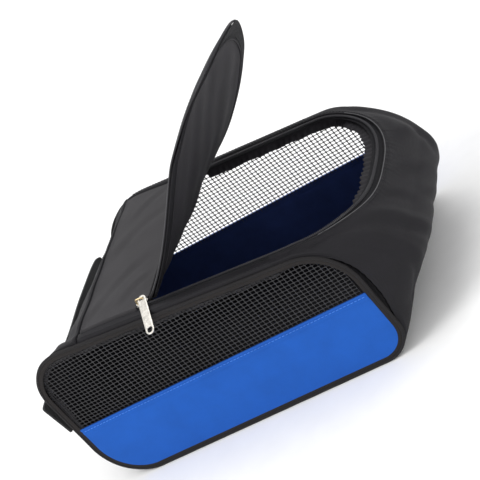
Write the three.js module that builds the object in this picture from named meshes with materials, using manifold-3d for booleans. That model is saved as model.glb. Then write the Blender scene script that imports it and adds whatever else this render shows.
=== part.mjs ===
// Shoe bag: a soft box with mesh sides, a coloured fabric band along each side,
// a U-shaped zip opening whose flap swings up from a hinge seam near the heel,
// and a webbing grab handle on the heel end. Millimetres, +X to the toe, +Z up,
// origin at the middle of the base.
import * as THREE from "three";
import { mergeVertices } from "three/addons/utils/BufferGeometryUtils.js";
import Module from "manifold-3d";

const wasm = await Module();
wasm.setup();

// Overall size
const LENGTH = 350;
const WIDTH = 240;
const HEEL_HEIGHT = 168;
const TOE_HEIGHT = 135;

// Corner radii of the side outline. The far heel corner is slack, so it hangs lower.
const HEEL_TOP_RADIUS_NEAR = 46;
const HEEL_TOP_RADIUS_FAR = 86;
const HEEL_BOTTOM_RADIUS = 50;
const TOE_TOP_RADIUS = 50;
const TOE_BOTTOM_RADIUS = 35;

// How far the gusset swells or sinks at mid-width
const TOE_BULGE = 49;
const TOE_LOW_FULLNESS = 6;
const TOE_HIGH_FULLNESS = 2.5;
const TOE_SIDE_FULLNESS = 6;
const HEEL_BULGE = 6;
const HEEL_SAG = 24;
const REAR_BULGE = 2;
const TOP_CROWN = 3;
const SHOULDER = 14;

// Cloth and trim
const CLOTH = 1.6;
const LAYER_GAP = 0.5;
const TAPE_GAP = 0.9;
const FLAP_LAYER_GAP = 2.2;
const TRIM = 1.1;
const SEAM_BINDING_DEPTH = 2.8;
const SEAM_BINDING_WIDTH = 6;
const HINGE_BINDING_WIDTH = 12;
const FACING_DEPTH = 15;
const PIPING = 3.4;
const BAND_HEIGHT = 76.5;
const BAND_OVERLAP_GAP = 0.5;
const SIDE_RECESS = 0.6;
const SEAM_GAP = 0.5;

// Places along the top, as X positions
const HINGE_X = -20;
const HEEL_SEAM_X = -101;
const RAIL_TOE_X = 112;
const HINGE_CLEARANCE = 3;

// Opening, zip and flap
const RIM_HALF_WIDTH = 105;
const RIM_ROUND_START_X = 112;
const RIM_END_DISTANCE = -56;
const RIM_POWER = 2.8;
const TAPE_UNDER_RIM = 6;
const TAPE_PAST_RIM = 5.1;
const COIL_WIDTH = 3;
const COIL_HEIGHT = 2.2;
const COIL_INSET = 2.2;
const COIL_GAP = 1.5;
const FLAP_ZIP_START = 20;
const FLAP_OPEN_ANGLE = THREE.MathUtils.degToRad(49);

// Notch beside the hinge where the zip ends and the slider parks
const NOTCH_LENGTH = 14;
const NOTCH_WIDTH = 12;

// Slider, pull tab and handle
const SLIDER_LENGTH = 12.5;
const SLIDER_WIDTH = 8.8;
const SLIDER_PLATE = 1.1;
const SLIDER_PLAY = 0.45;
const SLIDER_CENTRE_X = HINGE_X - 7;
const WEDGE_WIDTH = 0.7;
const BAIL_RADIUS = 0.8;
const BAIL_RISE = 3.2;
const BAIL_HALF_SPAN = 4.9;
const TAB_LENGTH = 44;
const TAB_WIDTH = 9;
const TAB_NECK_WIDTH = 6;
const TAB_THICKNESS = 1.4;
const TAB_EYE_BORE = 1.2;
const TAB_EYE_RADIUS = 2;
const TAB_EYE_LENGTH = 6;
const TAB_SLOT = [5.4, 7];
const TAB_DROOP = THREE.MathUtils.degToRad(17.5);
const TAB_YAW = THREE.MathUtils.degToRad(16);
const HANDLE_HEIGHT = 37;
const HANDLE_CENTRE_Z = 97;
const HANDLE_REACH = 4;
const HANDLE_BOW_POWER = 10;
const HANDLE_STANDOFF = 5.1;
const HANDLE_LEAN = 0.14;
const HANDLE_THICKNESS = 2.4;

const HALF_LENGTH = LENGTH / 2;
const HALF_WIDTH = WIDTH / 2;
const TOP_SLOPE = Math.atan2(HEEL_HEIGHT - TOE_HEIGHT, LENGTH);
const GUSSET_HALF = HALF_WIDTH - PIPING;
const lerp = THREE.MathUtils.lerp;

// ---- Materials ----

const finish = (color, roughness, metalness = 0) =>
  new THREE.MeshStandardMaterial({ color, roughness, metalness });
const BLACK_CLOTH = 0x2a282d;
const GREY_CLOTH = 0x3c3a3f;
const NET = 0x26262b;
const BLUE = 0x2862c8;
const BINDING = 0x1d1c21;
const COIL = 0x232228;
const NICKEL = 0xd9d4c8;

// ---- Closed solids from grids ----

function meshFrom(name, positions, triangles, material) {
  const geometry = new THREE.BufferGeometry();
  geometry.setAttribute("position", new THREE.Float32BufferAttribute(positions, 3));
  geometry.setIndex(triangles);
  geometry.computeVertexNormals();
  const mesh = new THREE.Mesh(geometry, material);
  mesh.name = name;
  return mesh;
}

// A thick sheet: point(u, v, w) gives its inner face at w = 0 and its outer face at
// w = 1, for u and v from 0 to 1. A ring joins its last u station to its first.
function sheet(countU, countV, point, ring = false) {
  const rows = ring ? countU : countU + 1;
  const columns = countV + 1;
  const positions = [];
  for (const w of [0, 1]) {
    for (let i = 0; i < rows; i++) {
      for (let j = 0; j < columns; j++) {
        positions.push(...point(i / countU, j / countV, w).toArray());
      }
    }
  }
  const at = (i, j, w) => (w * rows + (i % rows)) * columns + j;
  const triangles = [];
  const quad = (a, b, c, d) => triangles.push(a, b, c, a, c, d);
  for (let i = 0; i < countU; i++) {
    for (let j = 0; j < countV; j++) {
      quad(at(i, j, 1), at(i + 1, j, 1), at(i + 1, j + 1, 1), at(i, j + 1, 1));
      quad(at(i, j, 0), at(i, j + 1, 0), at(i + 1, j + 1, 0), at(i + 1, j, 0));
    }
    quad(at(i, 0, 0), at(i + 1, 0, 0), at(i + 1, 0, 1), at(i, 0, 1));
    quad(at(i, countV, 1), at(i + 1, countV, 1), at(i + 1, countV, 0), at(i, countV, 0));
  }
  if (!ring) {
    for (let j = 0; j < countV; j++) {
      quad(at(0, j, 1), at(0, j + 1, 1), at(0, j + 1, 0), at(0, j, 0));
      quad(at(countU, j, 0), at(countU, j + 1, 0), at(countU, j + 1, 1), at(countU, j, 1));
    }
  }
  return { positions, triangles };
}

function solid({ positions, triangles }) {
  const made = manifoldOf(positions, triangles);
  if (made.volume() > 0) return made;
  const turned = [];
  for (let i = 0; i < triangles.length; i += 3) {
    turned.push(triangles[i], triangles[i + 2], triangles[i + 1]);
  }
  return manifoldOf(positions, turned);
}

function manifoldOf(positions, triangles) {
  return new wasm.Manifold(
    new wasm.Mesh({
      numProp: 3,
      vertProperties: new Float32Array(positions),
      triVerts: new Uint32Array(triangles),
    }),
  );
}

function solidOfGeometry(geometry) {
  const bare = geometry.clone();
  bare.deleteAttribute("normal");
  bare.deleteAttribute("uv");
  const merged = mergeVertices(bare, 1e-4);
  return manifoldOf(merged.attributes.position.array, merged.index.array);
}

function meshOf(name, made, material) {
  const { vertProperties, triVerts } = made.getMesh();
  return meshFrom(name, Array.from(vertProperties), Array.from(triVerts), material);
}

const sheetMesh = (name, grid, material) => meshOf(name, solid(grid), material);

// ---- Side outline ----

// Lines and arcs of the side outline for one heel-top radius, in order from the toe end
// of the top edge: over the heel, along the base and up the toe.
function outlineFor(heelTopRadius) {
  const corners = [
    { x: HALF_LENGTH, z: TOE_HEIGHT, radius: TOE_TOP_RADIUS },
    { x: -HALF_LENGTH, z: HEEL_HEIGHT, radius: heelTopRadius },
    { x: -HALF_LENGTH, z: 0, radius: HEEL_BOTTOM_RADIUS },
    { x: HALF_LENGTH, z: 0, radius: TOE_BOTTOM_RADIUS },
  ];
  const rounded = corners.map((corner, i) => {
    const before = corners[(i + 3) % 4];
    const after = corners[(i + 1) % 4];
    const into = new THREE.Vector2(corner.x - before.x, corner.z - before.z).normalize();
    const out = new THREE.Vector2(after.x - corner.x, after.z - corner.z).normalize();
    const turn = Math.acos(into.dot(out));
    const trim = corner.radius * Math.tan(turn / 2);
    const start = new THREE.Vector2(corner.x, corner.z).addScaledVector(into, -trim);
    const end = new THREE.Vector2(corner.x, corner.z).addScaledVector(out, trim);
    const normal = new THREE.Vector2(into.y, -into.x);
    const centre = start.clone().addScaledVector(normal, -corner.radius);
    return { ...corner, turn, start, end, centre, angle: Math.atan2(normal.y, normal.x) };
  });
  const pieces = [];
  let distance = 0;
  const starts = {};
  const addPiece = (name, length, place) => {
    starts[name] = distance;
    pieces.push({ from: distance, length, place });
    distance += length;
  };
  const addLine = (name, a, b) => {
    const along = b.clone().sub(a).normalize();
    const normal = new THREE.Vector2(along.y, -along.x);
    addPiece(name, a.distanceTo(b), (s) => ({
      point: a.clone().addScaledVector(along, s),
      normal,
    }));
  };
  const addArc = (name, corner) => {
    addPiece(name, corner.radius * corner.turn, (s) => {
      const angle = corner.angle + s / corner.radius;
      const normal = new THREE.Vector2(Math.cos(angle), Math.sin(angle));
      return { point: corner.centre.clone().addScaledVector(normal, corner.radius), normal };
    });
  };
  const [toeTop, heelTop, heelBottom, toeBottom] = rounded;
  addLine("top", toeTop.end, heelTop.start);
  addArc("heelTop", heelTop);
  addLine("heel", heelTop.end, heelBottom.start);
  addArc("heelBottom", heelBottom);
  addLine("base", heelBottom.end, toeBottom.start);
  addArc("toeBottom", toeBottom);
  addLine("toe", toeBottom.end, toeTop.start);
  addArc("toeTop", toeTop);
  const total = distance;
  const at = (d) => {
    const s = ((d % total) + total) % total;
    const piece = pieces.findLast((p) => p.from <= s);
    return piece.place(Math.min(s - piece.from, piece.length));
  };
  return { at, starts, total, topStartX: toeTop.end.x };
}

const outlines = new Map();
function outlineAcross(y) {
  const share = THREE.MathUtils.smoothstep(y, -HALF_WIDTH, HALF_WIDTH);
  const radius = lerp(HEEL_TOP_RADIUS_NEAR, HEEL_TOP_RADIUS_FAR, share);
  const key = radius.toFixed(3);
  if (!outlines.has(key)) outlines.set(key, outlineFor(radius));
  return outlines.get(key);
}
const nearOutline = outlineFor(HEEL_TOP_RADIUS_NEAR);
const farOutline = outlineFor(HEEL_TOP_RADIUS_FAR);

// Distance along the top edge, from its toe end, of an X position on it
const alongTop = (x) => (nearOutline.topStartX - x) / Math.cos(TOP_SLOPE);

// ---- Gusset surface ----

// How far the gusset stands off the outline, at one distance and width
function swell(outline, d, y) {
  const across = Math.min(1, Math.abs(y) / HALF_WIDTH);
  const { starts, total } = outline;
  const s = d < 0 ? d + total : d;
  const edge = Math.max(0, Math.abs(y) - (HALF_WIDTH - SHOULDER)) / SHOULDER;
  const crown = TOP_CROWN * (1 - edge ** 2);
  if (s >= starts.toeBottom) {
    const rise = (s - starts.toeBottom) / (total - starts.toeBottom);
    const shown = THREE.MathUtils.smoothstep(rise, 0.5, 1);
    const power = rise < 0.5 ? TOE_LOW_FULLNESS : TOE_HIGH_FULLNESS;
    const fullness = Math.sin(Math.PI * rise) ** power;
    return crown * shown + TOE_BULGE * fullness * (1 - across ** TOE_SIDE_FULLNESS);
  }
  const seam = alongTop(HEEL_SEAM_X);
  const hinge = alongTop(HINGE_X);
  if (s > seam && s < starts.base) {
    const fall = (s - seam) / (starts.base - seam);
    const sag = -HEEL_SAG * Math.sin(Math.PI * Math.min(1, fall / 0.55)) ** 1.2;
    const low = HEEL_BULGE * Math.sin(Math.PI * THREE.MathUtils.clamp((fall - 0.5) / 0.3, 0, 1));
    const shown = 1 - THREE.MathUtils.smoothstep(fall, 0, 0.4);
    return crown * shown + (sag + low) * (1 - across ** 4);
  }
  if (s >= starts.base) return 0;
  if (s > hinge && s <= seam) {
    const rear = Math.sin((Math.PI * (s - hinge)) / (seam - hinge));
    return crown + REAR_BULGE * rear * (1 - across ** 2);
  }
  return crown;
}

// A point on the gusset: d along the outline, y across, lift out of the surface
function gusset(d, y, lift = 0) {
  const outline = outlineAcross(y);
  const { point, normal } = outline.at(d);
  point.addScaledVector(normal, swell(outline, d, y) + lift);
  return new THREE.Vector3(point.x, y, point.y);
}

// A cloth panel over the gusset. from and to give its ends as distances for each width.
function gussetPanel(name, from, to, halfWidth, counts, material, lifts = [-CLOTH, 0]) {
  const point = (u, v, w) => {
    const y = lerp(-halfWidth, halfWidth, v);
    const outline = outlineAcross(y);
    return gusset(lerp(from(outline), to(outline), u), y, lifts[w]);
  };
  return sheetMesh(name, sheet(counts[0], counts[1], point), material);
}

const bag = new THREE.Group();
const black = finish(BLACK_CLOTH, 0.55);
const grey = finish(GREY_CLOTH, 0.6);

const seamDistance = alongTop(HEEL_SEAM_X);
const hingeDistance = alongTop(HINGE_X);
const railToeDistance = alongTop(RAIL_TOE_X);

bag.add(
  gussetPanel(
    "base_panel",
    (o) => o.starts.base + SEAM_GAP,
    (o) => o.starts.toeBottom - SEAM_GAP,
    GUSSET_HALF - SEAM_GAP,
    [4, 4],
    black,
  ),
  gussetPanel(
    "heel_panel",
    () => seamDistance + SEAM_GAP,
    (o) => o.starts.base - SEAM_GAP,
    GUSSET_HALF - SEAM_GAP,
    [18, 12],
    black,
  ),
);

// Fixed panel behind the hinge, with a notch at each end of the hinge for the zip's ends
const rearBlank = solid(
  sheet(6, 10, (u, v, w) => {
    const d = lerp(hingeDistance + HINGE_CLEARANCE, seamDistance - SEAM_GAP, u);
    return gusset(d, lerp(-1, 1, v) * (RIM_HALF_WIDTH - 2 * SEAM_GAP), [-CLOTH, 0][w]);
  }),
);
const notches = [-1, 1].map((side) => {
  const block = new THREE.BoxGeometry(2 * NOTCH_LENGTH, 2 * NOTCH_WIDTH, 40);
  block.translate(HINGE_X, side * RIM_HALF_WIDTH, gusset(hingeDistance, 0).z);
  return solidOfGeometry(block);
});
const rearCloth = notches.reduce((cloth, notch) => cloth.subtract(notch), rearBlank);
bag.add(meshOf("top_rear_panel", rearCloth, grey));

// Rails: the strips of gusset between the opening and each side seam
for (const [side, name] of [[-1, "near_rail"], [1, "far_rail"]]) {
  const point = (u, v, w) => {
    const d = lerp(railToeDistance + SEAM_GAP, seamDistance - SEAM_GAP, u);
    const y = side * lerp(RIM_HALF_WIDTH, GUSSET_HALF - SEAM_GAP, v);
    return gusset(d, y, [-CLOTH, 0][w]);
  };
  bag.add(sheetMesh(name, sheet(8, 3, point), black));
}

// ---- Opening ----

// The rim runs from the hinge along the near side, round the toe and back. It is a
// curve in (d, y), with the normal that points into the opening.
const roundStart = alongTop(RIM_ROUND_START_X);
const roundLength = roundStart - RIM_END_DISTANCE;
const ROUND_STEPS = 22;

function rimPoint(t) {
  const angle = Math.PI * t - Math.PI / 2;
  const reach = Math.cos(angle) ** (2 / RIM_POWER);
  const across = Math.sign(angle) * Math.abs(Math.sin(angle)) ** (2 / RIM_POWER);
  return new THREE.Vector2(roundStart - roundLength * reach, RIM_HALF_WIDTH * across);
}

function rimRound() {
  const dense = Array.from({ length: 401 }, (_, i) => rimPoint(i / 400));
  const curve = new THREE.Path(dense);
  return curve.getSpacedPoints(ROUND_STEPS);
}

// Rim stations with inward normals, from heelD on the near side to heelD on the far side
function rimStations(heelD, straightSteps = 6) {
  const arc = rimRound();
  const stations = [];
  for (let i = 0; i < straightSteps; i++) {
    stations.push(new THREE.Vector2(lerp(heelD, roundStart, i / straightSteps), -RIM_HALF_WIDTH));
  }
  stations.push(...arc);
  for (let i = 1; i <= straightSteps; i++) {
    stations.push(new THREE.Vector2(lerp(roundStart, heelD, i / straightSteps), RIM_HALF_WIDTH));
  }
  return stations.map((point, i) => {
    const before = stations[Math.max(0, i - 1)];
    const after = stations[Math.min(stations.length - 1, i + 1)];
    const along = after.clone().sub(before).normalize();
    return { point, inward: new THREE.Vector2(-along.y, along.x).multiplyScalar(-1) };
  });
}

// A strip that follows the rim: insets are measured into the opening, lifts out of the
// cloth, both as [first, last].
function rimStrip(stations, insets, lifts, countAcross = 1) {
  const point = (u, v, w) => {
    const { point: at, inward } = stations[Math.round(u * (stations.length - 1))];
    const place = at.clone().addScaledVector(inward, lerp(insets[0], insets[1], v));
    return gusset(place.x, place.y, lifts[w]);
  };
  return sheet(stations.length - 1, countAcross, point);
}

// A thick patch over everything inside the rim, less a margin, up to heelD
function rimPatch(heelD, inset, lifts, countAcross, countAlong = 12) {
  const half = RIM_HALF_WIDTH - inset;
  const end = RIM_END_DISTANCE + inset;
  const length = roundStart - end;
  const nose = (y) => {
    const share = Math.min(1, Math.abs(y) / half);
    return roundStart - length * (1 - share ** RIM_POWER) ** (1 / RIM_POWER);
  };
  const point = (u, v, w) => {
    const side = Math.sin((v - 0.5) * Math.PI);
    const y = half * side;
    return gusset(lerp(heelD, nose(y), u), y, lifts[w]);
  };
  return sheet(countAlong, countAcross, point);
}

// Toe panel: the gusset from the rails round the toe to the base, less the opening
const toeBlank = solid(
  sheet(26, 18, (u, v, w) => {
    const y = lerp(-1, 1, v) * (GUSSET_HALF - SEAM_GAP);
    const outline = outlineAcross(y);
    const low = outline.starts.toeBottom - outline.total + SEAM_GAP;
    return gusset(lerp(railToeDistance - SEAM_GAP, low, u), y, [-CLOTH, 0][w]);
  }),
);
const openingPlug = solid(rimPatch(railToeDistance + 8, 0, [-8, 8], 32, 8));
const toeCloth = toeBlank.subtract(openingPlug);
bag.add(meshOf("toe_panel", toeCloth, black));

// Facing strip that hangs inside the round end of the opening
const facingStations = rimStations(roundStart, 0);
const facingLift = -CLOTH - TAPE_GAP - TRIM - LAYER_GAP;
bag.add(
  sheetMesh(
    "rim_facing",
    rimStrip(
      facingStations.slice(2, -2),
      [-TAPE_UNDER_RIM - TRIM, -TAPE_UNDER_RIM],
      [facingLift - FACING_DEPTH, facingLift],
    ),
    finish(GREY_CLOTH, 0.7),
  ),
);

// ---- Zip on the body ----

const tapeLift = [-CLOTH - TAPE_GAP - TRIM, -CLOTH - TAPE_GAP];
const coilLift = [tapeLift[1] + LAYER_GAP, tapeLift[1] + LAYER_GAP + COIL_HEIGHT];
const zipHeelD = hingeDistance + NOTCH_LENGTH - 0.6;
const zipStations = rimStations(zipHeelD);
bag.add(
  sheetMesh(
    "zip_tape_body",
    rimStrip(zipStations, [-TAPE_UNDER_RIM, TAPE_PAST_RIM], tapeLift),
    finish(BINDING, 0.8),
  ),
  sheetMesh(
    "zip_coil_body",
    rimStrip(
      rimStations(zipHeelD - 3.4),
      [COIL_INSET, COIL_INSET + COIL_WIDTH - 0.4],
      coilLift,
    ),
    finish(COIL, 0.45),
  ),
);

// End stops that close the coil beside the hinge
for (const [side, name] of [[-1, "near_end_stop"], [1, "far_end_stop"]]) {
  const point = (u, v, w) => {
    const y = side * (RIM_HALF_WIDTH - COIL_INSET - lerp(0, COIL_WIDTH - 0.4, v));
    return gusset(zipHeelD - lerp(3, 0.4, u), y, coilLift[w]);
  };
  bag.add(sheetMesh(name, sheet(1, 1, point), finish(COIL, 0.4)));
}

// Binding under the hinge seam, stitched to the rear panel
const hingeBinding = (u, v, w) => {
  const y = lerp(-1, 1, v) * (RIM_HALF_WIDTH - NOTCH_WIDTH - 1);
  const along = HINGE_CLEARANCE + u * HINGE_BINDING_WIDTH;
  return gusset(hingeDistance + along, y, tapeLift[w]);
};
bag.add(sheetMesh("hinge_seam_binding", sheet(1, 8, hingeBinding), finish(BINDING, 0.8)));

// ---- Side panels, piping and inner seam bindings ----

const SIDE_STEPS = 48;
const SIDE_INSET = PIPING + 0.3;

// Point of a side outline, moved in by inset
function sidePoint(outline, share, inset, y) {
  const { point, normal } = outline.at(share * outline.total);
  point.addScaledVector(normal, -inset);
  return new THREE.Vector3(point.x, y, point.y);
}

// A flat side plate between two heights, cut from the inset outline
function sidePlate(name, outline, y0, y1, keepAbove, keepBelow, material) {
  const shape = new THREE.Shape();
  for (let i = 0; i < SIDE_STEPS; i++) {
    const p = sidePoint(outline, i / SIDE_STEPS, SIDE_INSET, 0);
    if (i === 0) shape.moveTo(p.x, p.z);
    else shape.lineTo(p.x, p.z);
  }
  shape.closePath();
  const plate = new THREE.ExtrudeGeometry(shape, { depth: y1 - y0, bevelEnabled: false });
  plate.rotateX(Math.PI / 2);
  plate.translate(0, y1, 0);
  const layer = new THREE.BoxGeometry(2 * LENGTH, 4 * (y1 - y0), keepBelow - keepAbove);
  layer.translate(0, (y0 + y1) / 2, (keepAbove + keepBelow) / 2);
  const cut = solidOfGeometry(plate).intersect(solidOfGeometry(layer));
  bag.add(meshOf(name, cut, material));
}

for (const [side, word, outline] of [[-1, "near", nearOutline], [1, "far", farOutline]]) {
  const outer = side * (HALF_WIDTH - SIDE_RECESS);
  const inner = side * (HALF_WIDTH - SIDE_RECESS - CLOTH);
  const [y0, y1] = [Math.min(outer, inner), Math.max(outer, inner)];
  const meshFoot = BAND_HEIGHT + BAND_OVERLAP_GAP;
  sidePlate(`${word}_mesh`, outline, y0, y1, meshFoot, HEEL_HEIGHT, finish(NET, 0.8));
  sidePlate(`${word}_blue_band`, outline, y0, y1, 0, BAND_HEIGHT, finish(BLUE, 0.75));

  const piping = (u, v, w) =>
    sidePoint(outline, u, [PIPING, 0][w], side * lerp(HALF_WIDTH - PIPING, HALF_WIDTH, v));
  bag.add(sheetMesh(`${word}_piping`, sheet(SIDE_STEPS, 1, piping, true), finish(BINDING, 0.7)));

  const tapeY = side * (GUSSET_HALF - SEAM_GAP);
  const binding = (u, v, w) => {
    const y = tapeY - side * lerp(0, SEAM_BINDING_WIDTH, v);
    const across = outlineAcross(y);
    return gusset(u * across.total, y, -CLOTH - SEAM_BINDING_DEPTH + (w - 1) * TRIM);
  };
  const name = `${word}_seam_binding`;
  bag.add(sheetMesh(name, sheet(SIDE_STEPS, 1, binding, true), finish(BINDING, 0.8)));
}

// ---- Grab handle on the heel end ----

const handlePoint = (u, v, w) => {
  const y = Math.sin(lerp(-0.5, 0.5, u) * Math.PI) * (HALF_WIDTH - 1);
  const z = HANDLE_CENTRE_Z + lerp(-0.5, 0.5, v) * HANDLE_HEIGHT;
  const bow = (1 - Math.abs(y / HALF_WIDTH) ** HANDLE_BOW_POWER) * HANDLE_REACH;
  const lean = (z - HANDLE_CENTRE_Z) * HANDLE_LEAN;
  const x = -HALF_LENGTH - HANDLE_STANDOFF - bow - lean - w * HANDLE_THICKNESS;
  return new THREE.Vector3(x, y, z);
};
bag.add(sheetMesh("grab_handle", sheet(28, 3, handlePoint), finish(BINDING, 0.85)));

// ---- Flap, drawn closed and then swung open about the hinge axis ----

const hingeAxis = gusset(hingeDistance, 0, -CLOTH / 2);
const flap = new THREE.Group();
flap.position.copy(hingeAxis);
flap.rotation.y = -FLAP_OPEN_ANGLE;
const closedFlap = new THREE.Group();
closedFlap.position.copy(hingeAxis).negate();
flap.add(closedFlap);
bag.add(flap);

const flapHeelD = hingeDistance - HINGE_CLEARANCE;
const flapCoilInset = COIL_INSET + COIL_WIDTH - 0.4 + COIL_GAP;
const sliderInset = COIL_INSET + COIL_WIDTH - 0.4 + COIL_GAP / 2;
const flapClothInset = sliderInset + SLIDER_WIDTH / 2 + LAYER_GAP;
const flapTapeInner = flapClothInset + TAPE_UNDER_RIM;
const flapZipStations = rimStations(hingeDistance - FLAP_ZIP_START);
const flapUnderLift = [-CLOTH - FLAP_LAYER_GAP - TRIM, -CLOTH - FLAP_LAYER_GAP];

// The flap's tape lies level with the coil at its edge and drops under the flap's cloth
const flapTape = (() => {
  const level = rimStrip(flapZipStations, [flapCoilInset, flapTapeInner], tapeLift, 2);
  const sunk = rimStrip(flapZipStations, [flapCoilInset, flapTapeInner], flapUnderLift, 2);
  const columns = 3;
  const positions = level.positions.map((value, i) => {
    const column = Math.floor(i / 3) % columns;
    return lerp(value, sunk.positions[i], [0, 0.12, 1][column]);
  });
  return { positions, triangles: level.triangles };
})();
closedFlap.add(
  sheetMesh("flap_panel", rimPatch(flapHeelD, flapClothInset, [-CLOTH, 0], 18), grey),
  sheetMesh("zip_tape_flap", flapTape, finish(BINDING, 0.8)),
  sheetMesh(
    "flap_lining",
    rimPatch(flapHeelD, flapTapeInner + 1, flapUnderLift, 16),
    finish(GREY_CLOTH, 0.7),
  ),
  sheetMesh(
    "zip_coil_flap",
    rimStrip(flapZipStations, [flapCoilInset, flapCoilInset + COIL_WIDTH - 0.3], coilLift),
    finish(COIL, 0.45),
  ),
);

// ---- Slider and pull tab, parked in the notch on the near side ----

const nickel = finish(NICKEL, 0.35, 0.9);
const track = new THREE.Group();
const trackOrigin = gusset(alongTop(SLIDER_CENTRE_X), -(RIM_HALF_WIDTH - sliderInset), 0);
track.position.copy(trackOrigin);
track.rotation.y = TOP_SLOPE;
bag.add(track);

// A flat plate with round ends, centred, its thickness along +Z from zero
function roundedPlate(length, width, height, corner) {
  const shape = new THREE.Shape();
  const [a, b] = [length / 2 - corner, width / 2 - corner];
  shape.absarc(a, -b, corner, -Math.PI / 2, 0);
  shape.absarc(a, b, corner, 0, Math.PI / 2);
  shape.absarc(-a, b, corner, Math.PI / 2, Math.PI);
  shape.absarc(-a, -b, corner, Math.PI, 1.5 * Math.PI);
  shape.closePath();
  const settings = { depth: height, bevelEnabled: false, curveSegments: 5 };
  return new THREE.ExtrudeGeometry(shape, settings);
}

// Slider body: a plate above both coils, a plate below the tapes and the thin wedge
// that joins them between the coils
const topPlateLift = coilLift[1] + SLIDER_PLAY;
const bottomPlateLift = tapeLift[0] - SLIDER_PLAY - SLIDER_PLATE;
const sliderPlates = [topPlateLift, bottomPlateLift].map((lift) =>
  solidOfGeometry(
    roundedPlate(SLIDER_LENGTH, SLIDER_WIDTH, SLIDER_PLATE, 2.4).translate(0, 0, lift),
  ),
);
const wedgeHeight = topPlateLift - bottomPlateLift;
const wedge = solidOfGeometry(
  new THREE.BoxGeometry(SLIDER_LENGTH - 3, WEDGE_WIDTH, wedgeHeight).translate(
    0,
    0,
    bottomPlateLift + SLIDER_PLATE / 2 + wedgeHeight / 2,
  ),
);
track.add(meshOf("slider_body", sliderPlates[0].add(sliderPlates[1]).add(wedge), nickel));

// Bail: a wire arch over the top plate
const bailBase = topPlateLift + SLIDER_PLATE + 0.3;
const bailLift = topPlateLift + SLIDER_PLATE + BAIL_RISE;
const bailPath = new THREE.CurvePath();
const bailTurn = 1.6;
const bailLeft = new THREE.Vector3(-BAIL_HALF_SPAN, 0, bailBase);
const bailPoints = [
  bailLeft,
  new THREE.Vector3(-BAIL_HALF_SPAN, 0, bailLift - bailTurn),
  new THREE.Vector3(-BAIL_HALF_SPAN, 0, bailLift),
  new THREE.Vector3(-BAIL_HALF_SPAN + bailTurn, 0, bailLift),
];
const mirrored = bailPoints.map((p) => new THREE.Vector3(-p.x, 0, p.z));
bailPath.add(new THREE.LineCurve3(bailPoints[0], bailPoints[1]));
bailPath.add(new THREE.QuadraticBezierCurve3(bailPoints[1], bailPoints[2], bailPoints[3]));
bailPath.add(new THREE.LineCurve3(bailPoints[3], mirrored[3]));
bailPath.add(new THREE.QuadraticBezierCurve3(mirrored[3], mirrored[2], mirrored[1]));
bailPath.add(new THREE.LineCurve3(mirrored[1], mirrored[0]));
const bailSection = new THREE.Shape().absarc(0, 0, BAIL_RADIUS, 0, 2 * Math.PI);
const bailWire = new THREE.ExtrudeGeometry(bailSection, {
  steps: 14,
  curveSegments: 6,
  bevelEnabled: false,
  extrudePath: bailPath,
});
track.add(meshOf("slider_bail", solidOfGeometry(bailWire), nickel));

// Pull tab: a flat plate with a slot in its free end and a rolled eye round the bail;
// it droops over the near edge
const tabHead = TAB_EYE_RADIUS - 0.4;
const tabRound = TAB_WIDTH / 2;
const neckHalf = TAB_NECK_WIDTH / 2;
const tabShape = new THREE.Shape();
tabShape.moveTo(neckHalf, -tabHead);
tabShape.lineTo(-neckHalf, -tabHead);
tabShape.lineTo(-tabRound, -tabHead - 3);
tabShape.lineTo(-tabRound, tabRound - TAB_LENGTH);
tabShape.absarc(0, tabRound - TAB_LENGTH, tabRound, Math.PI, 2 * Math.PI);
tabShape.lineTo(tabRound, -tabHead - 3);
tabShape.closePath();
const slot = new THREE.Path();
slot.absellipse(0, tabRound - TAB_LENGTH + 0.4, TAB_SLOT[0] / 2, TAB_SLOT[1] / 2, 0, 2 * Math.PI);
tabShape.holes.push(slot);
const tabPlate = new THREE.ExtrudeGeometry(tabShape, {
  depth: TAB_THICKNESS,
  bevelEnabled: false,
  curveSegments: 6,
});
tabPlate.translate(0, 0, -TAB_THICKNESS / 2);
tabPlate.rotateZ(TAB_YAW);
const eyeRing = new THREE.LatheGeometry(
  [
    new THREE.Vector2(TAB_EYE_BORE, -TAB_EYE_LENGTH / 2),
    new THREE.Vector2(TAB_EYE_RADIUS, -TAB_EYE_LENGTH / 2),
    new THREE.Vector2(TAB_EYE_RADIUS, TAB_EYE_LENGTH / 2),
    new THREE.Vector2(TAB_EYE_BORE, TAB_EYE_LENGTH / 2),
    new THREE.Vector2(TAB_EYE_BORE, -TAB_EYE_LENGTH / 2),
  ],
  16,
);
eyeRing.rotateZ(Math.PI / 2);
const tabSolid = solidOfGeometry(tabPlate).add(solidOfGeometry(eyeRing));
const tab = meshOf("pull_tab", tabSolid, nickel);
tab.position.set(0, 0, bailLift);
tab.rotation.x = TAB_DROOP;
track.add(tab);

export default bag;
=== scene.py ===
"""Shoe bag: cloth, net, zip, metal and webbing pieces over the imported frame. Metres, +X to the toe."""
import math

import bpy
import bmesh
import numpy as np
from mathutils import Matrix, Vector


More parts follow.
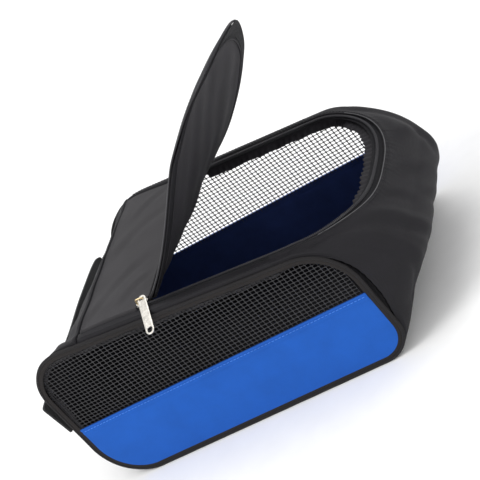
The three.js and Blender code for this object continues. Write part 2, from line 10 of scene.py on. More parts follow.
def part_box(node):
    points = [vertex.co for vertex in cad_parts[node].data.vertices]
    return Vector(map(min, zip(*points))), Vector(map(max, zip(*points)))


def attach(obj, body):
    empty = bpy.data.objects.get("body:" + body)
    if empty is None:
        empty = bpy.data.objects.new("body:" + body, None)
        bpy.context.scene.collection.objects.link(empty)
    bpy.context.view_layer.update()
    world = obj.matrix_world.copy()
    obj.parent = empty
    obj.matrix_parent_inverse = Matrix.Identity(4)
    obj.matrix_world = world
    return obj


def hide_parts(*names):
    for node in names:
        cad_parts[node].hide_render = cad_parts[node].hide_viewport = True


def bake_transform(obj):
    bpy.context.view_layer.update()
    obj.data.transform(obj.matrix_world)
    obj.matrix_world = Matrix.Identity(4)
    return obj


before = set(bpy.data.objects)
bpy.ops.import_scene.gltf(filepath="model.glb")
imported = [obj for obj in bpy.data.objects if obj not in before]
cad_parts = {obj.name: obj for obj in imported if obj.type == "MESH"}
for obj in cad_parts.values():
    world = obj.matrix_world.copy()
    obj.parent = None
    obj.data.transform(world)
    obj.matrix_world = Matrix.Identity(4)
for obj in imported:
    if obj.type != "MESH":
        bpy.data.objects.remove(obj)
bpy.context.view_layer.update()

# ---- Driving dimensions, from the frame where it holds them ----

PIPING_LOW, PIPING_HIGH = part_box("near_piping")
LENGTH = PIPING_HIGH.x - PIPING_LOW.x
HALF_WIDTH = -PIPING_LOW.y
BAND_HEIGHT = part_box("near_blue_band")[1].z
RIM_HALF_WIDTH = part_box("far_rail")[0].y
GUSSET_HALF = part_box("far_rail")[1].y + 0.0004
HEEL_HEIGHT = 0.168
TOE_HEIGHT = 0.135
HEEL_TOP_RADII = (0.046, 0.086)
HEEL_BOTTOM_RADIUS = 0.050
TOE_TOP_RADIUS = 0.050
TOE_BOTTOM_RADIUS = 0.035
TOE_BULGE = 0.049
TOE_LOW_FULLNESS = 6
TOE_HIGH_FULLNESS = 2.5
TOE_SIDE_FULLNESS = 6
HEEL_BULGE = 0.0042
HEEL_BULGE_START = 0.57
HEEL_BULGE_SHARE = 0.25
HEEL_SAG = 0.024
HEEL_SAG_SHARE = 0.55
HEEL_SAG_POWER = 1.2
REAR_BULGE = 0.002
TOP_CROWN = 0.003
SHOULDER = 0.014
HINGE_X = -0.020
HEEL_SEAM_X = -0.101
RAIL_TOE_X = 0.112
RIM_ROUND_START_X = 0.112
RIM_END = -0.056
RIM_POWER = 2.8
CLOTH = 0.0016
BOTH_SIDES = ((-1, "near"), (1, "far"))

# Zip, in distances in from the rim and lifts out of the cloth
TAPE = 0.0008
TAPE_LIFT = -0.0025
COIL_LIFT = -0.0004
BODY_TAPE = (-0.0062, 0.0053)
FLAP_TAPE = (0.0058, 0.0165)
BODY_TEETH = (0.0018, 0.0049)
FLAP_TEETH = (0.0062, 0.0093)
TOOTH_PITCH = 0.0017
TOOTH_LEAN = 0.25
BODY_ZIP_END = 0.0134
STOP_LENGTH = 0.0034
FLAP_ZIP_START = 0.012
HINGE_GAP = 0.0026
HINGE_TAPE = (0.0145, -0.004)
HINGE_TAPE_HALF = 0.0915
HINGE_ROLL_HALF = 0.0925
HINGE_ROLL_RADIUS = 0.0015
FLAP_CLOTH_INSET = 0.0102
LINING_INSET = 0.0135
NOTCH = (0.0138, 0.0118)

# The flap bends smoothly between the bag and its own body, most on the far side
FLAP_OPEN = math.radians(49)
FLAP_BEND_START = (-0.2392, 0.0964, 0.0889)
FLAP_BEND_END = (0.0679, -0.1717, 0.1843)
FLAP_STRETCH = 1.032
FLAP_NOSE_LIFT = 0.0044


def smoothstep(x, low=0.0, high=1.0):
    t = np.clip((np.asarray(x, float) - low) / (high - low), 0, 1)
    return t * t * (3 - 2 * t)


def lerp(a, b, t):
    return a + (b - a) * t


def hump(x, centre, width):
    """A smooth hump of height 1."""
    return np.exp(-(((x - centre) / width) ** 2))


def unit(vectors):
    return vectors / np.linalg.norm(vectors, axis=-1, keepdims=True)


def run_along(points):
    """Distance along a path at each of its points."""
    return np.r_[0, np.cumsum(np.linalg.norm(np.diff(points, axis=0), axis=1))]


def pairs(a, b):
    return np.stack(np.broadcast_arrays(a, b), -1)


# ---- Side outline and gusset surface ----

CORNERS = np.array([
    (LENGTH / 2, TOE_HEIGHT),
    (-LENGTH / 2, HEEL_HEIGHT),
    (-LENGTH / 2, 0.0),
    (LENGTH / 2, 0.0),
])
SIDES = np.roll(CORNERS, -1, axis=0) - CORNERS
SIDE_LENGTHS = np.linalg.norm(SIDES, axis=1)
ALONG = SIDES / SIDE_LENGTHS[:, None]
NORMALS = np.stack([ALONG[:, 1], -ALONG[:, 0]], 1)
TURNS = np.arccos((np.roll(ALONG, 1, axis=0) * ALONG).sum(1))
TOP_SLOPE = math.atan2(HEEL_HEIGHT - TOE_HEIGHT, LENGTH)
TOP_START_X = CORNERS[0, 0] + ALONG[0, 0] * TOE_TOP_RADIUS * math.tan(TURNS[0] / 2)


def outline_starts(y):
    """Radius and trim of each corner at a cross position, and where each line and arc starts."""
    heel_top = lerp(*HEEL_TOP_RADII, smoothstep(y, -HALF_WIDTH, HALF_WIDTH))
    plain = np.ones_like(heel_top)
    radii = [plain * TOE_TOP_RADIUS, heel_top, plain * HEEL_BOTTOM_RADIUS, plain * TOE_BOTTOM_RADIUS]
    trims = [radius * math.tan(turn / 2) for radius, turn in zip(radii, TURNS)]
    starts = [np.zeros_like(heel_top)]
    for i in range(4):
        after = (i + 1) % 4
        starts.append(starts[-1] + SIDE_LENGTHS[i] - trims[i] - trims[after])
        starts.append(starts[-1] + radii[after] * TURNS[after])
    return radii, trims, starts


def outline(d, y):
    """Point and outward normal at distance d from the toe end of the top edge, over the heel."""
    d, y = np.broadcast_arrays(np.asarray(d, float), np.asarray(y, float))
    radii, trims, starts = outline_starts(y)
    s = np.mod(d, starts[8])
    x, z, nx, nz = (np.zeros_like(s) for _ in range(4))
    for i in range(4):
        after = (i + 1) % 4
        on_line = (s >= starts[2 * i]) & (s < starts[2 * i + 1])
        run = s - starts[2 * i] + trims[i]
        line = (*(CORNERS[i][k] + ALONG[i][k] * run for k in (0, 1)), *NORMALS[i])
        on_arc = (s >= starts[2 * i + 1]) & (s <= starts[2 * i + 2])
        turned = (s - starts[2 * i + 1]) / radii[after]
        angle = math.atan2(NORMALS[i, 1], NORMALS[i, 0]) + turned
        arc_normal = (np.cos(angle), np.sin(angle))
        first = [CORNERS[after][k] - ALONG[i][k] * trims[after] for k in (0, 1)]
        arc = (*(first[k] + (arc_normal[k] - NORMALS[i][k]) * radii[after] for k in (0, 1)), *arc_normal)
        x, z, nx, nz = (
            np.where(on_line, a, np.where(on_arc, b, c)) for a, b, c in zip(line, arc, (x, z, nx, nz))
        )
    return x, z, nx, nz, starts


def along_top(x):
    """Distance along the top edge of an X position on it."""
    return (TOP_START_X - x) / math.cos(TOP_SLOPE)


SEAM_D = along_top(HEEL_SEAM_X)
HINGE_D = along_top(HINGE_X)
RAIL_TOE_D = along_top(RAIL_TOE_X)
ROUND_START = along_top(RIM_ROUND_START_X)


def swell(d, y, starts):
    """How far the gusset stands off the outline."""
    across = np.minimum(1, np.abs(y) / HALF_WIDTH)
    s = np.mod(d, starts[8])
    edge = np.maximum(0, np.abs(y) - (HALF_WIDTH - SHOULDER)) / SHOULDER
    crown = TOP_CROWN * (1 - edge**2)
    rise = np.clip((s - starts[5]) / (starts[8] - starts[5]), 0, 1)
    fullness = np.sin(np.pi * rise) ** np.where(rise < 0.5, TOE_LOW_FULLNESS, TOE_HIGH_FULLNESS)
    toe = crown * smoothstep(rise, 0.5, 1) + TOE_BULGE * fullness * (1 - across**TOE_SIDE_FULLNESS)
    fall = np.clip((s - SEAM_D) / (starts[4] - SEAM_D), 0, 1)
    sag = -HEEL_SAG * np.sin(np.pi * np.minimum(1, fall / HEEL_SAG_SHARE)) ** HEEL_SAG_POWER
    low = HEEL_BULGE * np.sin(np.pi * np.clip((fall - HEEL_BULGE_START) / HEEL_BULGE_SHARE, 0, 1))
    heel = crown * (1 - smoothstep(fall, 0, 0.4)) + (sag + low) * (1 - across**4)
    back = np.sin(np.pi * np.clip((s - HINGE_D) / (SEAM_D - HINGE_D), 0, 1))
    rear = crown + REAR_BULGE * back * (1 - across**2)
    out = np.where(s >= starts[5], toe, crown)
    out = np.where((s > SEAM_D) & (s < starts[4]), heel, out)
    out = np.where((s >= starts[4]) & (s < starts[5]), 0, out)
    return np.where((s > HINGE_D) & (s <= SEAM_D), rear, out)


def gusset(d, y, lift=0.0):
    """Points on the gusset: d along the outline, y across, lift out of the surface."""
    d, y = np.broadcast_arrays(np.asarray(d, float), np.asarray(y, float))
    x, z, nx, nz, starts = outline(d, y)
    out = swell(d, y, starts) + lift
    return np.stack([x + nx * out, y, z + nz * out], -1)


HINGE_AXIS = gusset(HINGE_D, 0.0, -CLOTH / 2)


def turned_about_hinge(points, angle):
    r = points - HINGE_AXIS
    c, s = np.cos(angle), np.sin(angle)
    x = HINGE_AXIS[0] + r[..., 0] * c - r[..., 2] * s
    z = HINGE_AXIS[2] + r[..., 0] * s + r[..., 2] * c
    return np.stack([x, r[..., 1], z], -1)


def flap_surface(d, y, lift=0.0):
    """The flap at rest. Each point has turned from its closed place by its blend weight times
    the opening angle, so that the flap lies flat in its opening when the hinge closes."""
    stretched = HINGE_D + (np.asarray(d, float) - HINGE_D) * FLAP_STRETCH
    nose = np.clip(-stretched / -RIM_END, 0, 1.2) ** 2 * FLAP_NOSE_LIFT
    closed = gusset(stretched, y, lift + nose)
    start = np.array(FLAP_BEND_START)
    bend = np.array(FLAP_BEND_END) - start
    weight = np.full(closed.shape[:-1], 0.8)
    for _ in range(60):
        placed = turned_about_hinge(closed, FLAP_OPEN * weight)
        wanted = smoothstep((placed - start) @ bend / (bend @ bend))
        weight = (weight + wanted) / 2
    return turned_about_hinge(closed, FLAP_OPEN * weight)


# ---- Wrinkles ----

RIPPLE_WAVES = 7
ROLL_DEPTH = 0.0032
ROLL_WIDTH = 0.0012


def ripple(u, v, seed, scale, stretch=(1.0, 1.0)):
    """Smooth uneven undulation between about -1 and 1."""
    rng = np.random.default_rng(seed)
    total = np.zeros(np.broadcast(u, v).shape)
    for _ in range(RIPPLE_WAVES):
        angle, phase = rng.uniform(0, 2 * np.pi, 2)
        pace = 2 * np.pi / (scale * rng.uniform(0.6, 1.7))
        total = total + np.sin(
            pace * (u * math.cos(angle) / stretch[0] + v * math.sin(angle) / stretch[1]) + phase
        )
    return total / math.sqrt(RIPPLE_WAVES * 2)


def creases(d, y):
    """Folds in the cloth, each from one (d, y) point to another."""
    total = np.zeros(np.broadcast(d, y).shape)
    for (d0, y0), (d1, y1), width, depth in FOLDS:
        run = np.array([d1 - d0, y1 - y0])
        length = np.hypot(*run)
        along = ((d - d0) * run[0] + (y - y0) * run[1]) / length**2
        bow = 0.06 * length * np.sin(np.pi * np.clip(along, 0, 1))
        off = ((d - d0) * run[1] - (y - y0) * run[0]) / length - bow
        fade = smoothstep(along, -0.15, 0.2) * (1 - smoothstep(along, 0.7, 1.15))
        profile = hump(off, 0, width) - 0.5 * hump(off, 1.7 * width, width)
        total -= depth * fade * profile
    return total


def edge_roll(distance):
    """Cloth turning down into a seam."""
    return -ROLL_DEPTH * hump(np.maximum(0, distance), 0, ROLL_WIDTH)


# ---- Meshes ----

SHARP = math.radians(38)
PLATE_SHARP = math.radians(35)
MERGE = 1e-6


def add_object(name, data):
    piece = bpy.data.objects.new(name, data)
    bpy.context.scene.collection.objects.link(piece)
    return piece


def finish_faces(mesh, sharp, merge=0.0):
    """No loose vertices, outward normals, and smooth shading that keeps sharp edges."""
    work = bmesh.new()
    work.from_mesh(mesh)
    if merge:
        bmesh.ops.remove_doubles(work, verts=work.verts, dist=merge)
    loose = [v for v in work.verts if not v.link_faces]
    bmesh.ops.delete(work, geom=loose, context="VERTS")
    bmesh.ops.recalc_face_normals(work, faces=work.faces)
    work.to_mesh(mesh)
    work.free()
    mesh.polygons.foreach_set("use_smooth", [True] * len(mesh.polygons))
    mesh.set_sharp_from_angle(angle=sharp)


def finish_mesh(name, vertices, faces, uv=None):
    mesh = bpy.data.meshes.new(name)
    mesh.from_pydata([tuple(v) for v in vertices], [], faces)
    if uv is not None:
        layer = mesh.uv_layers.new(name="cloth")
        index = np.zeros(len(mesh.loops), np.int64)
        mesh.loops.foreach_get("vertex_index", index)
        layer.data.foreach_set("uv", np.asarray(uv, np.float32)[index].ravel())
    finish_faces(mesh, SHARP)
    return add_object(name, mesh)


def shell(name, outer, inner, uv, kept=None, ring=False):
    """A closed sheet between two grids of points. kept says which cells are there."""
    rows, columns = outer.shape[:2]
    count = rows * columns
    cells_down = rows if ring else rows - 1
    if kept is None:
        kept = np.ones((cells_down, columns - 1), bool)
    faces = []

    def is_kept(i, j):
        if ring:
            i %= cells_down
        return 0 <= i < cells_down and 0 <= j < columns - 1 and kept[i, j]

    def at(i, j):
        return (i % rows) * columns + j

    for i, j in zip(*np.nonzero(kept)):
        a, b, c, d = at(i, j), at(i + 1, j), at(i + 1, j + 1), at(i, j + 1)
        faces.append((a, b, c, d))
        faces.append((a + count, d + count, c + count, b + count))
        for (p, q), (k, m) in (
            ((a, d), (i - 1, j)), ((b, c), (i + 1, j)), ((a, b), (i, j - 1)), ((d, c), (i, j + 1)),
        ):
            if not is_kept(k, m):
                faces.append((p, q, q + count, p + count))
    vertices = np.concatenate([outer.reshape(-1, 3), inner.reshape(-1, 3)])
    return finish_mesh(name, vertices, faces, np.concatenate([uv.reshape(-1, 2)] * 2))


def panel(name, surface, d, y, lift=0.0, thickness=CLOTH, uv=None, **cells):
    """A cloth panel over a surface. Its weave runs along d and y unless uv says otherwise."""
    d, y, lift = np.broadcast_arrays(d, y, lift)
    uv = pairs(d, y) if uv is None else uv
    return shell(name, surface(d, y, lift), surface(d, y, lift - thickness), uv, **cells)


def ring_faces(rows, sides, closed=False):
    """Faces of a swept ring of vertices, with a cap at both ends of an open one."""
    faces = []
    for i in range(rows if closed else rows - 1):
        for j in range(sides):
            k, after = (j + 1) % sides, (i + 1) % rows
            faces.append((i * sides + j, i * sides + k, after * sides + k, after * sides + j))
    if not closed:
        faces.append(tuple(range(sides)))
        faces.append(tuple((rows - 1) * sides + j for j in range(sides)))
    return faces


def tangents_of(points, closed=False):
    """Unit tangents of a path."""
    if closed:
        return unit(np.roll(points, -1, axis=0) - np.roll(points, 1, axis=0))
    return unit(np.gradient(points, axis=0))


def tube(name, points, radius, up, sides=10, closed=False):
    """A swept round cord. up gives the direction of its second axis at each point."""
    points = np.asarray(points, float)
    up = np.broadcast_to(np.asarray(up, float), points.shape)
    tangent = tangents_of(points, closed)
    side = unit(np.cross(tangent, up))
    lift = np.cross(side, tangent)
    angle = np.arange(sides) * 2 * np.pi / sides
    ring = radius * (
        side[:, None] * np.cos(angle)[None, :, None] + lift[:, None] * np.sin(angle)[None, :, None]
    )
    uv = pairs(run_along(points)[:, None], angle[None] * radius).reshape(-1, 2)
    faces = ring_faces(len(points), sides, closed)
    return finish_mesh(name, (points[:, None] + ring).reshape(-1, 3), faces, uv)


def repeated(name, template, origins, xs, ys, zs):
    """Many copies of a small solid, as one mesh. template is its vertices and faces."""
    vertices, faces = template
    vertices = np.asarray(vertices, float)
    placed = (
        origins[:, None]
        + xs[:, None] * vertices[None, :, :1]
        + ys[:, None] * vertices[None, :, 1:2]
        + zs[:, None] * vertices[None, :, 2:3]
    )
    count = len(vertices)
    every = [tuple(v + k * count for v in face) for k in range(len(origins)) for face in faces]
    return finish_mesh(name, placed.reshape(-1, 3), every)


def ellipse(cx, cy, rx, ry, count=40, first=0.0, turn=2 * math.pi):
    angles = [first + turn * k / count for k in range(count)]
    return [(cx + rx * math.cos(a), cy + ry * math.sin(a)) for a in angles]


def lozenge(length, width, height, sides=6, taper=0.55):
    """A short thread-like solid along X: a middle and two narrower ends."""
    vertices = [
        (x * length, c * width / 2 * share, s * height / 2 * share)
        for x, share in ((-0.5, taper), (-0.3, 1.0), (0.3, 1.0), (0.5, taper))
        for c, s in ellipse(0, 0, 1, 1, sides)
    ]
    return vertices, ring_faces(4, sides)


def spaced(surface, d, y, lift, pitch):
    """Places along a path on a surface, a pitch apart: origins, tangents, sides and normals."""
    points = surface(d, y, lift)
    above = surface(d, y, lift + 0.001)
    run = run_along(points)
    where = np.arange(pitch / 2, run[-1], pitch)

    def sampled(values):
        return np.stack([np.interp(where, run, values[:, k]) for k in range(3)], 1)

    tangents = unit(sampled(tangents_of(points)))
    sides = unit(np.cross(sampled(above - points), tangents))
    return sampled(points), tangents, sides, np.cross(tangents, sides)


def join(name, pieces):
    """Several meshes as one piece."""
    vertices, faces = [], []
    for piece in pieces:
        base = len(vertices)
        vertices.extend(tuple(v.co) for v in piece.data.vertices)
        faces.extend(tuple(base + v for v in p.vertices) for p in piece.data.polygons)
        bpy.data.objects.remove(piece)
    return finish_mesh(name, vertices, faces)


# ---- Materials ----

class Nodes:
    """A material's shader nodes. Settings are node inputs, with _ for a space, or node properties."""

    def __init__(self, name):
        self.material = bpy.data.materials.new(name)
        self.material.use_nodes = True
        self.tree = self.material.node_tree

    def feed(self, target, source):
        """Links an output to an input, or sets the input to a value."""
        if isinstance(source, bpy.types.NodeSocket):
            self.tree.links.new(source, target)
        else:
            target.default_value = source

    def set_up(self, node, **settings):
        for key, value in settings.items():
            name = key.replace("_", " ")
            if name in node.inputs:
                self.feed(node.inputs[name], value)
            else:
                setattr(node, key, value)
        return node

    def add(self, kind, **settings):
        return self.set_up(self.tree.nodes.new("ShaderNode" + kind), **settings)

    def surface(self, **settings):
        self.set_up(self.tree.nodes["Principled BSDF"], **settings)
        return self.material

    def noise(self, scale, detail, roughness=0.5):
        place = self.add("TexCoord").outputs["Object"]
        noise = self.add("TexNoise", Vector=place, Scale=scale, Detail=detail, Roughness=roughness)
        return noise.outputs["Fac"]

    def wave(self, axis, scale):
        uv = self.add("UVMap", uv_map="cloth").outputs["UV"]
        wave = self.add("TexWave", bands_direction=axis, Vector=uv, Scale=scale, Distortion=0.6, Detail=1.0)
        return wave.outputs["Fac"]

    def combine(self, operation, *sources):
        node = self.add("Math", operation=operation)
        for target, source in zip(node.inputs, sources):
            self.feed(target, source)
        return node.outputs["Value"]

    def ramp(self, factor, low, high, places=(0.3, 0.7)):
        node = self.add("ValToRGB", Fac=factor)
        for element, colour, place in zip(node.color_ramp.elements, (low, high), places):
            element.position = place
            element.color = (*colour, 1)
        return node.outputs["Color"]

    def spread(self, factor, low, high):
        return self.add("MapRange", Value=factor, To_Min=low, To_Max=min(1.0, high)).outputs["Result"]

    def bump(self, **settings):
        return self.add("Bump", **settings).outputs["Normal"]


def tinted(colour, share):
    return tuple(min(1.0, c * share) for c in colour)


def fabric(name, colour, roughness, thread=0.0007, weave=0.5, crumple=0.4, vary=0.25, ribs=False,
           specular=0.4):
    """Woven cloth: threads both ways (or ribs one way), fine crumpling and uneven colour."""
    nodes = Nodes(name)
    soft = nodes.noise(38.0, 6.0, 0.6)
    uneven = nodes.combine("MULTIPLY_ADD", nodes.noise(900.0, 3.0), 0.35, soft)
    threads = nodes.wave("X", 1 / (thread * 3.0))
    if not ribs:
        threads = nodes.combine("MULTIPLY", threads, nodes.wave("Y", 1 / (thread * 3.0)))
    woven = nodes.bump(Height=threads, Strength=weave, Distance=thread * 0.5)
    return nodes.surface(
        Base_Color=nodes.ramp(uneven, tinted(colour, 1 - vary), tinted(colour, 1 + vary), (0.4, 0.95)),
        Roughness=nodes.spread(soft, roughness - 0.08, roughness + 0.12),
        Normal=nodes.bump(Height=soft, Strength=crumple, Distance=0.0012, Normal=woven),
        Specular_IOR_Level=specular,
    )


def polished(name, colour, roughness, metallic=1.0):
    """Plated metal or smooth nylon: faint scratches, smudges and worn patches."""
    nodes = Nodes(name)
    smudge = nodes.noise(220.0, 5.0)
    return nodes.surface(
        Base_Color=nodes.ramp(smudge, tinted(colour, 0.8), tinted(colour, 1.1)),
        Metallic=metallic,
        Roughness=nodes.spread(smudge, roughness * 0.7, roughness * 1.5),
        Normal=nodes.bump(Height=nodes.noise(1400.0, 2.0), Strength=0.25, Distance=0.00008),
    )


# Each cloth's colour, roughness and other settings
CLOTHS = {
    "black_cloth": ((0.0090, 0.0083, 0.0108), 0.58, dict(specular=0.22)),
    # The next cloth is the black cloth again, painted lighter: painted light from above on the top panels;
    # the flap, net borders and hinge roll wear it too
    "rear_cloth_painted_light": ((0.030, 0.0285, 0.0315), 0.62, dict(specular=0.25)),
    "lining": ((0.022, 0.0205, 0.0245), 0.70, dict(crumple=0.5, specular=0.25)),
    "zip_tape": ((0.0135, 0.0130, 0.0160), 0.70, dict(thread=0.0009, weave=0.9, ribs=True, specular=0.2)),
    "binding": ((0.0125, 0.0112, 0.0120), 0.60, dict(thread=0.0008, weave=0.8, specular=0.25)),
    "net": ((0.016, 0.0155, 0.018), 0.5, dict(thread=0.0003, crumple=0.1)),
    "blue_cloth": ((0.0160, 0.098, 0.43), 0.85,
                   dict(thread=0.0005, weave=0.35, crumple=0.35, vary=0.10, specular=0.12)),
    "webbing": ((0.011, 0.011, 0.013), 0.5, dict(thread=0.0016, weave=1.0, ribs=True, specular=0.35)),
    "thread": ((0.018, 0.0175, 0.020), 0.6, dict(thread=0.0003, specular=0.2)),
    # The navy backing is painted shade: the blue cloth's inside, darkened as if in shadow within the bag
    "navy_painted_shade": ((0.016, 0.030, 0.115), 0.8, dict(specular=0.15)),
    "welt": ((0.0135, 0.0112, 0.0108), 0.62, dict(specular=0.22)),
    "pale_edge": ((0.10, 0.10, 0.105), 0.6, dict(thread=0.0004)),
    "blue_thread": ((0.05, 0.20, 0.66), 0.6, dict(thread=0.0003)),
}
MATERIALS = {
    name: fabric(name, colour, roughness, **settings)
    for name, (colour, roughness, settings) in CLOTHS.items()
}
MATERIALS["zip_coil"] = polished("zip_coil", (0.030, 0.029, 0.034), 0.36, metallic=0.0)
MATERIALS["nickel"] = polished("nickel", (0.80, 0.77, 0.71), 0.24)
MATERIALS["brass"] = polished("brass", (0.62, 0.50, 0.30), 0.30)


def dress(piece, finish, body, *replaces):
    """Material, body and the CAD nodes a piece stands for; a flap_blend piece has its transform baked in
    instead of a body.
    """
    piece.data.materials.clear()
    piece.data.materials.append(MATERIALS[finish])
    if body == "flap_blend":
        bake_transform(piece)
    else:
        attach(piece, body)
    if replaces:
        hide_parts(*replaces)


STITCH = (0.0026, 0.0036, 0.0007)


def sew(name, surface, d, y, lift, stitch=STITCH, body="bag", finish="thread"):
    """A row of stitches along a path on a surface. stitch is their length, pitch and width."""
    length, pitch, width = stitch
    row = repeated(name, lozenge(length, width, width), *spaced(surface, d, y, lift, pitch))
    dress(row, finish, body)


# ---- Gusset panels ----

# Each fold's two (d, y) ends, width and depth: on the toe, the rear panel and the heel
FOLDS = [
    ((0.004, -0.112), (-0.075, -0.030), 0.0060, 0.0026),
    ((-0.012, -0.114), (-0.110, -0.055), 0.0065, 0.0030),
    ((-0.030, -0.115), (-0.135, -0.090), 0.0050, 0.0022),
    ((-0.058, -0.060), (-0.082, 0.030), 0.0045, 0.0016),
    ((-0.060, 0.010), (-0.078, 0.085), 0.0045, 0.0018),
    ((-0.020, 0.112), (-0.090, 0.060), 0.0060, 0.0024),
    ((-0.085, -0.020), (-0.150, 0.020), 0.0080, 0.0020),
    ((-0.100, 0.040), (-0.150, 0.095), 0.0070, 0.0022),
    ((0.222, -0.095), (0.165, -0.020), 0.0060, 0.00084),
    ((0.215, 0.000), (0.160, 0.060), 0.0070, 0.0009),
    ((0.205, 0.055), (0.170, 0.098), 0.0050, 0.00072),
    ((0.185, -0.090), (0.155, -0.050), 0.0050, 0.00072),
    ((0.235, -0.105), (0.300, -0.040), 0.0070, 0.0030),
    ((0.240, 0.020), (0.300, 0.070), 0.0080, 0.0030),
    ((0.250, 0.110), (0.330, 0.060), 0.0070, 0.0032),
    ((0.260, -0.060), (0.360, -0.050), 0.0090, 0.0030),
]


def body_lift(d, y):
    """The bag's own unevenness: broad undulation and its folds."""
    still = 1 - smoothstep(np.abs(y), GUSSET_HALF - 0.016, GUSSET_HALF)
    broad = 0.0011 * ripple(d, y, 3, 0.075) * still
    return broad + creases(d, y) * (0.35 + 0.65 * still)


def side_distance(y, half=GUSSET_HALF):
    return half - np.abs(y)


def make_base():
    y = np.linspace(-GUSSET_HALF, GUSSET_HALF, 60)[None]
    starts = outline_starts(y)[2]
    d = lerp(starts[4], starts[5], np.linspace(0, 1, 90)[:, None])
    lift = 0.0006 + 0.0005 * ripple(d, y, 11, 0.06) * smoothstep(side_distance(y), 0, 0.02)
    dress(panel("base_cloth", gusset, d, y, np.minimum(lift, 0.0)), "black_cloth", "bag", "base_panel")


def make_heel():
    y = np.linspace(-GUSSET_HALF, GUSSET_HALF, 120)[None]
    low = outline_starts(y)[2][4]
    d = lerp(SEAM_D, low, np.linspace(0, 1, 140)[:, None])
    lift = body_lift(d, y) + edge_roll(d - SEAM_D) + edge_roll(side_distance(y))
    lift = lift + 0.0008 * hump(d - SEAM_D, 0.004, 0.0022)
    dress(panel("heel_cloth", gusset, d, y, lift), "black_cloth", "bag", "heel_panel")


def make_rear():
    """The fixed panel from the hinge to the heel seam, notched at both ends of the hinge for the zip."""
    y = np.linspace(-RIM_HALF_WIDTH, RIM_HALF_WIDTH, 180)[None]
    d = np.linspace(HINGE_D + HINGE_GAP, SEAM_D, 90)[:, None]
    lift = body_lift(d, y) + edge_roll(SEAM_D - d) + edge_roll(side_distance(y, RIM_HALF_WIDTH))
    lift = lift + 0.0006 * hump(SEAM_D - d, 0.004, 0.002)
    centre_d, centre_y = (d[1:] + d[:-1]) / 2, np.abs(y[:, 1:] + y[:, :-1]) / 2
    kept = ~((centre_d < HINGE_D + NOTCH[0]) & (centre_y > RIM_HALF_WIDTH - NOTCH[1]))
    # The rear panel's lighter cloth is painted light, the black cloth as if lit from above
    rear = panel("rear_cloth_painted_light", gusset, d, y, lift, kept=kept)
    dress(rear, "rear_cloth_painted_light", "bag", "top_rear_panel")


def make_rail(side, word):
    d = np.linspace(RAIL_TOE_D, SEAM_D, 220)[:, None]
    y = side * np.linspace(RIM_HALF_WIDTH, GUSSET_HALF, 14)[None]
    lift = body_lift(d, y) + edge_roll(SEAM_D - d)
    lift = lift + edge_roll(side_distance(y)) + edge_roll(np.abs(y) - RIM_HALF_WIDTH)
    dress(panel(f"{word}_rail_cloth", gusset, d, y, lift), "black_cloth", "bag", f"{word}_rail")


# ---- Rim of the opening ----

def nose_d(y, inset):
    """Where the opening's round end lies, for a cross position and a distance in from the rim."""
    half = RIM_HALF_WIDTH - inset
    share = np.minimum(1, np.abs(y) / half)
    return ROUND_START - (ROUND_START - RIM_END - inset) * (1 - share**RIM_POWER) ** (1 / RIM_POWER)


def rim_line(heel_d, count, inset=0.0):
    """Evenly spaced (d, y) points round the opening, moved in by inset, and their inward normals."""
    angle = np.linspace(-np.pi / 2, np.pi / 2, 801)
    reach = np.cos(angle).clip(0) ** (2 / RIM_POWER)
    across = np.sign(angle) * np.abs(np.sin(angle)) ** (2 / RIM_POWER)
    bow = np.stack([ROUND_START - (ROUND_START - RIM_END) * reach, RIM_HALF_WIDTH * across], 1)
    straight = np.linspace(heel_d, ROUND_START, 200, endpoint=False)
    near = np.stack([straight, np.full_like(straight, -RIM_HALF_WIDTH)], 1)
    far = np.stack([straight[::-1], np.full_like(straight, RIM_HALF_WIDTH)], 1)
    path = np.concatenate([near, bow, far])
    run = run_along(path)
    where = np.linspace(0, run[-1], count)
    even = np.stack([np.interp(where, run, path[:, k]) for k in (0, 1)], 1)
    along = tangents_of(even)
    inward = np.stack([along[:, 1], -along[:, 0]], 1)
    return even + inward * inset, inward


def zip_tape(name, surface, heel_d, insets, lift, body, node):
    """Zip tape that follows the rim: one column for each inset, at its lift."""
    line, inward = rim_line(heel_d, 420)
    inset = insets[None]
    d = line[:, :1] + inward[:, :1] * inset
    y = line[:, 1:] + inward[:, 1:] * inset
    tape = panel(name, surface, d, y, lift, TAPE, pairs(run_along(line)[:, None], inset))
    dress(tape, "zip_tape", body, node)


def zip_coil(name, surface, heel_d, insets, lean, body, node):
    """A nylon coil: a rounded loop across the strip at each pitch, round a thin core."""
    line, _ = rim_line(heel_d, 900, (insets[0] + insets[1]) / 2)
    origins, along, across, up = spaced(surface, *line.T, COIL_LIFT, TOOTH_PITCH)
    turned = unit(across + along * lean)
    loop = lozenge(insets[1] - insets[0], 0.00105, 0.0019, 8, 0.75)
    loops = repeated(name + "_loops", loop, origins, turned, np.cross(up, turned), up)
    core = tube(name + "_core", origins - up * 0.0002, 0.0006, up, 6)
    dress(join(name, [loops, core]), "zip_coil", body, node)


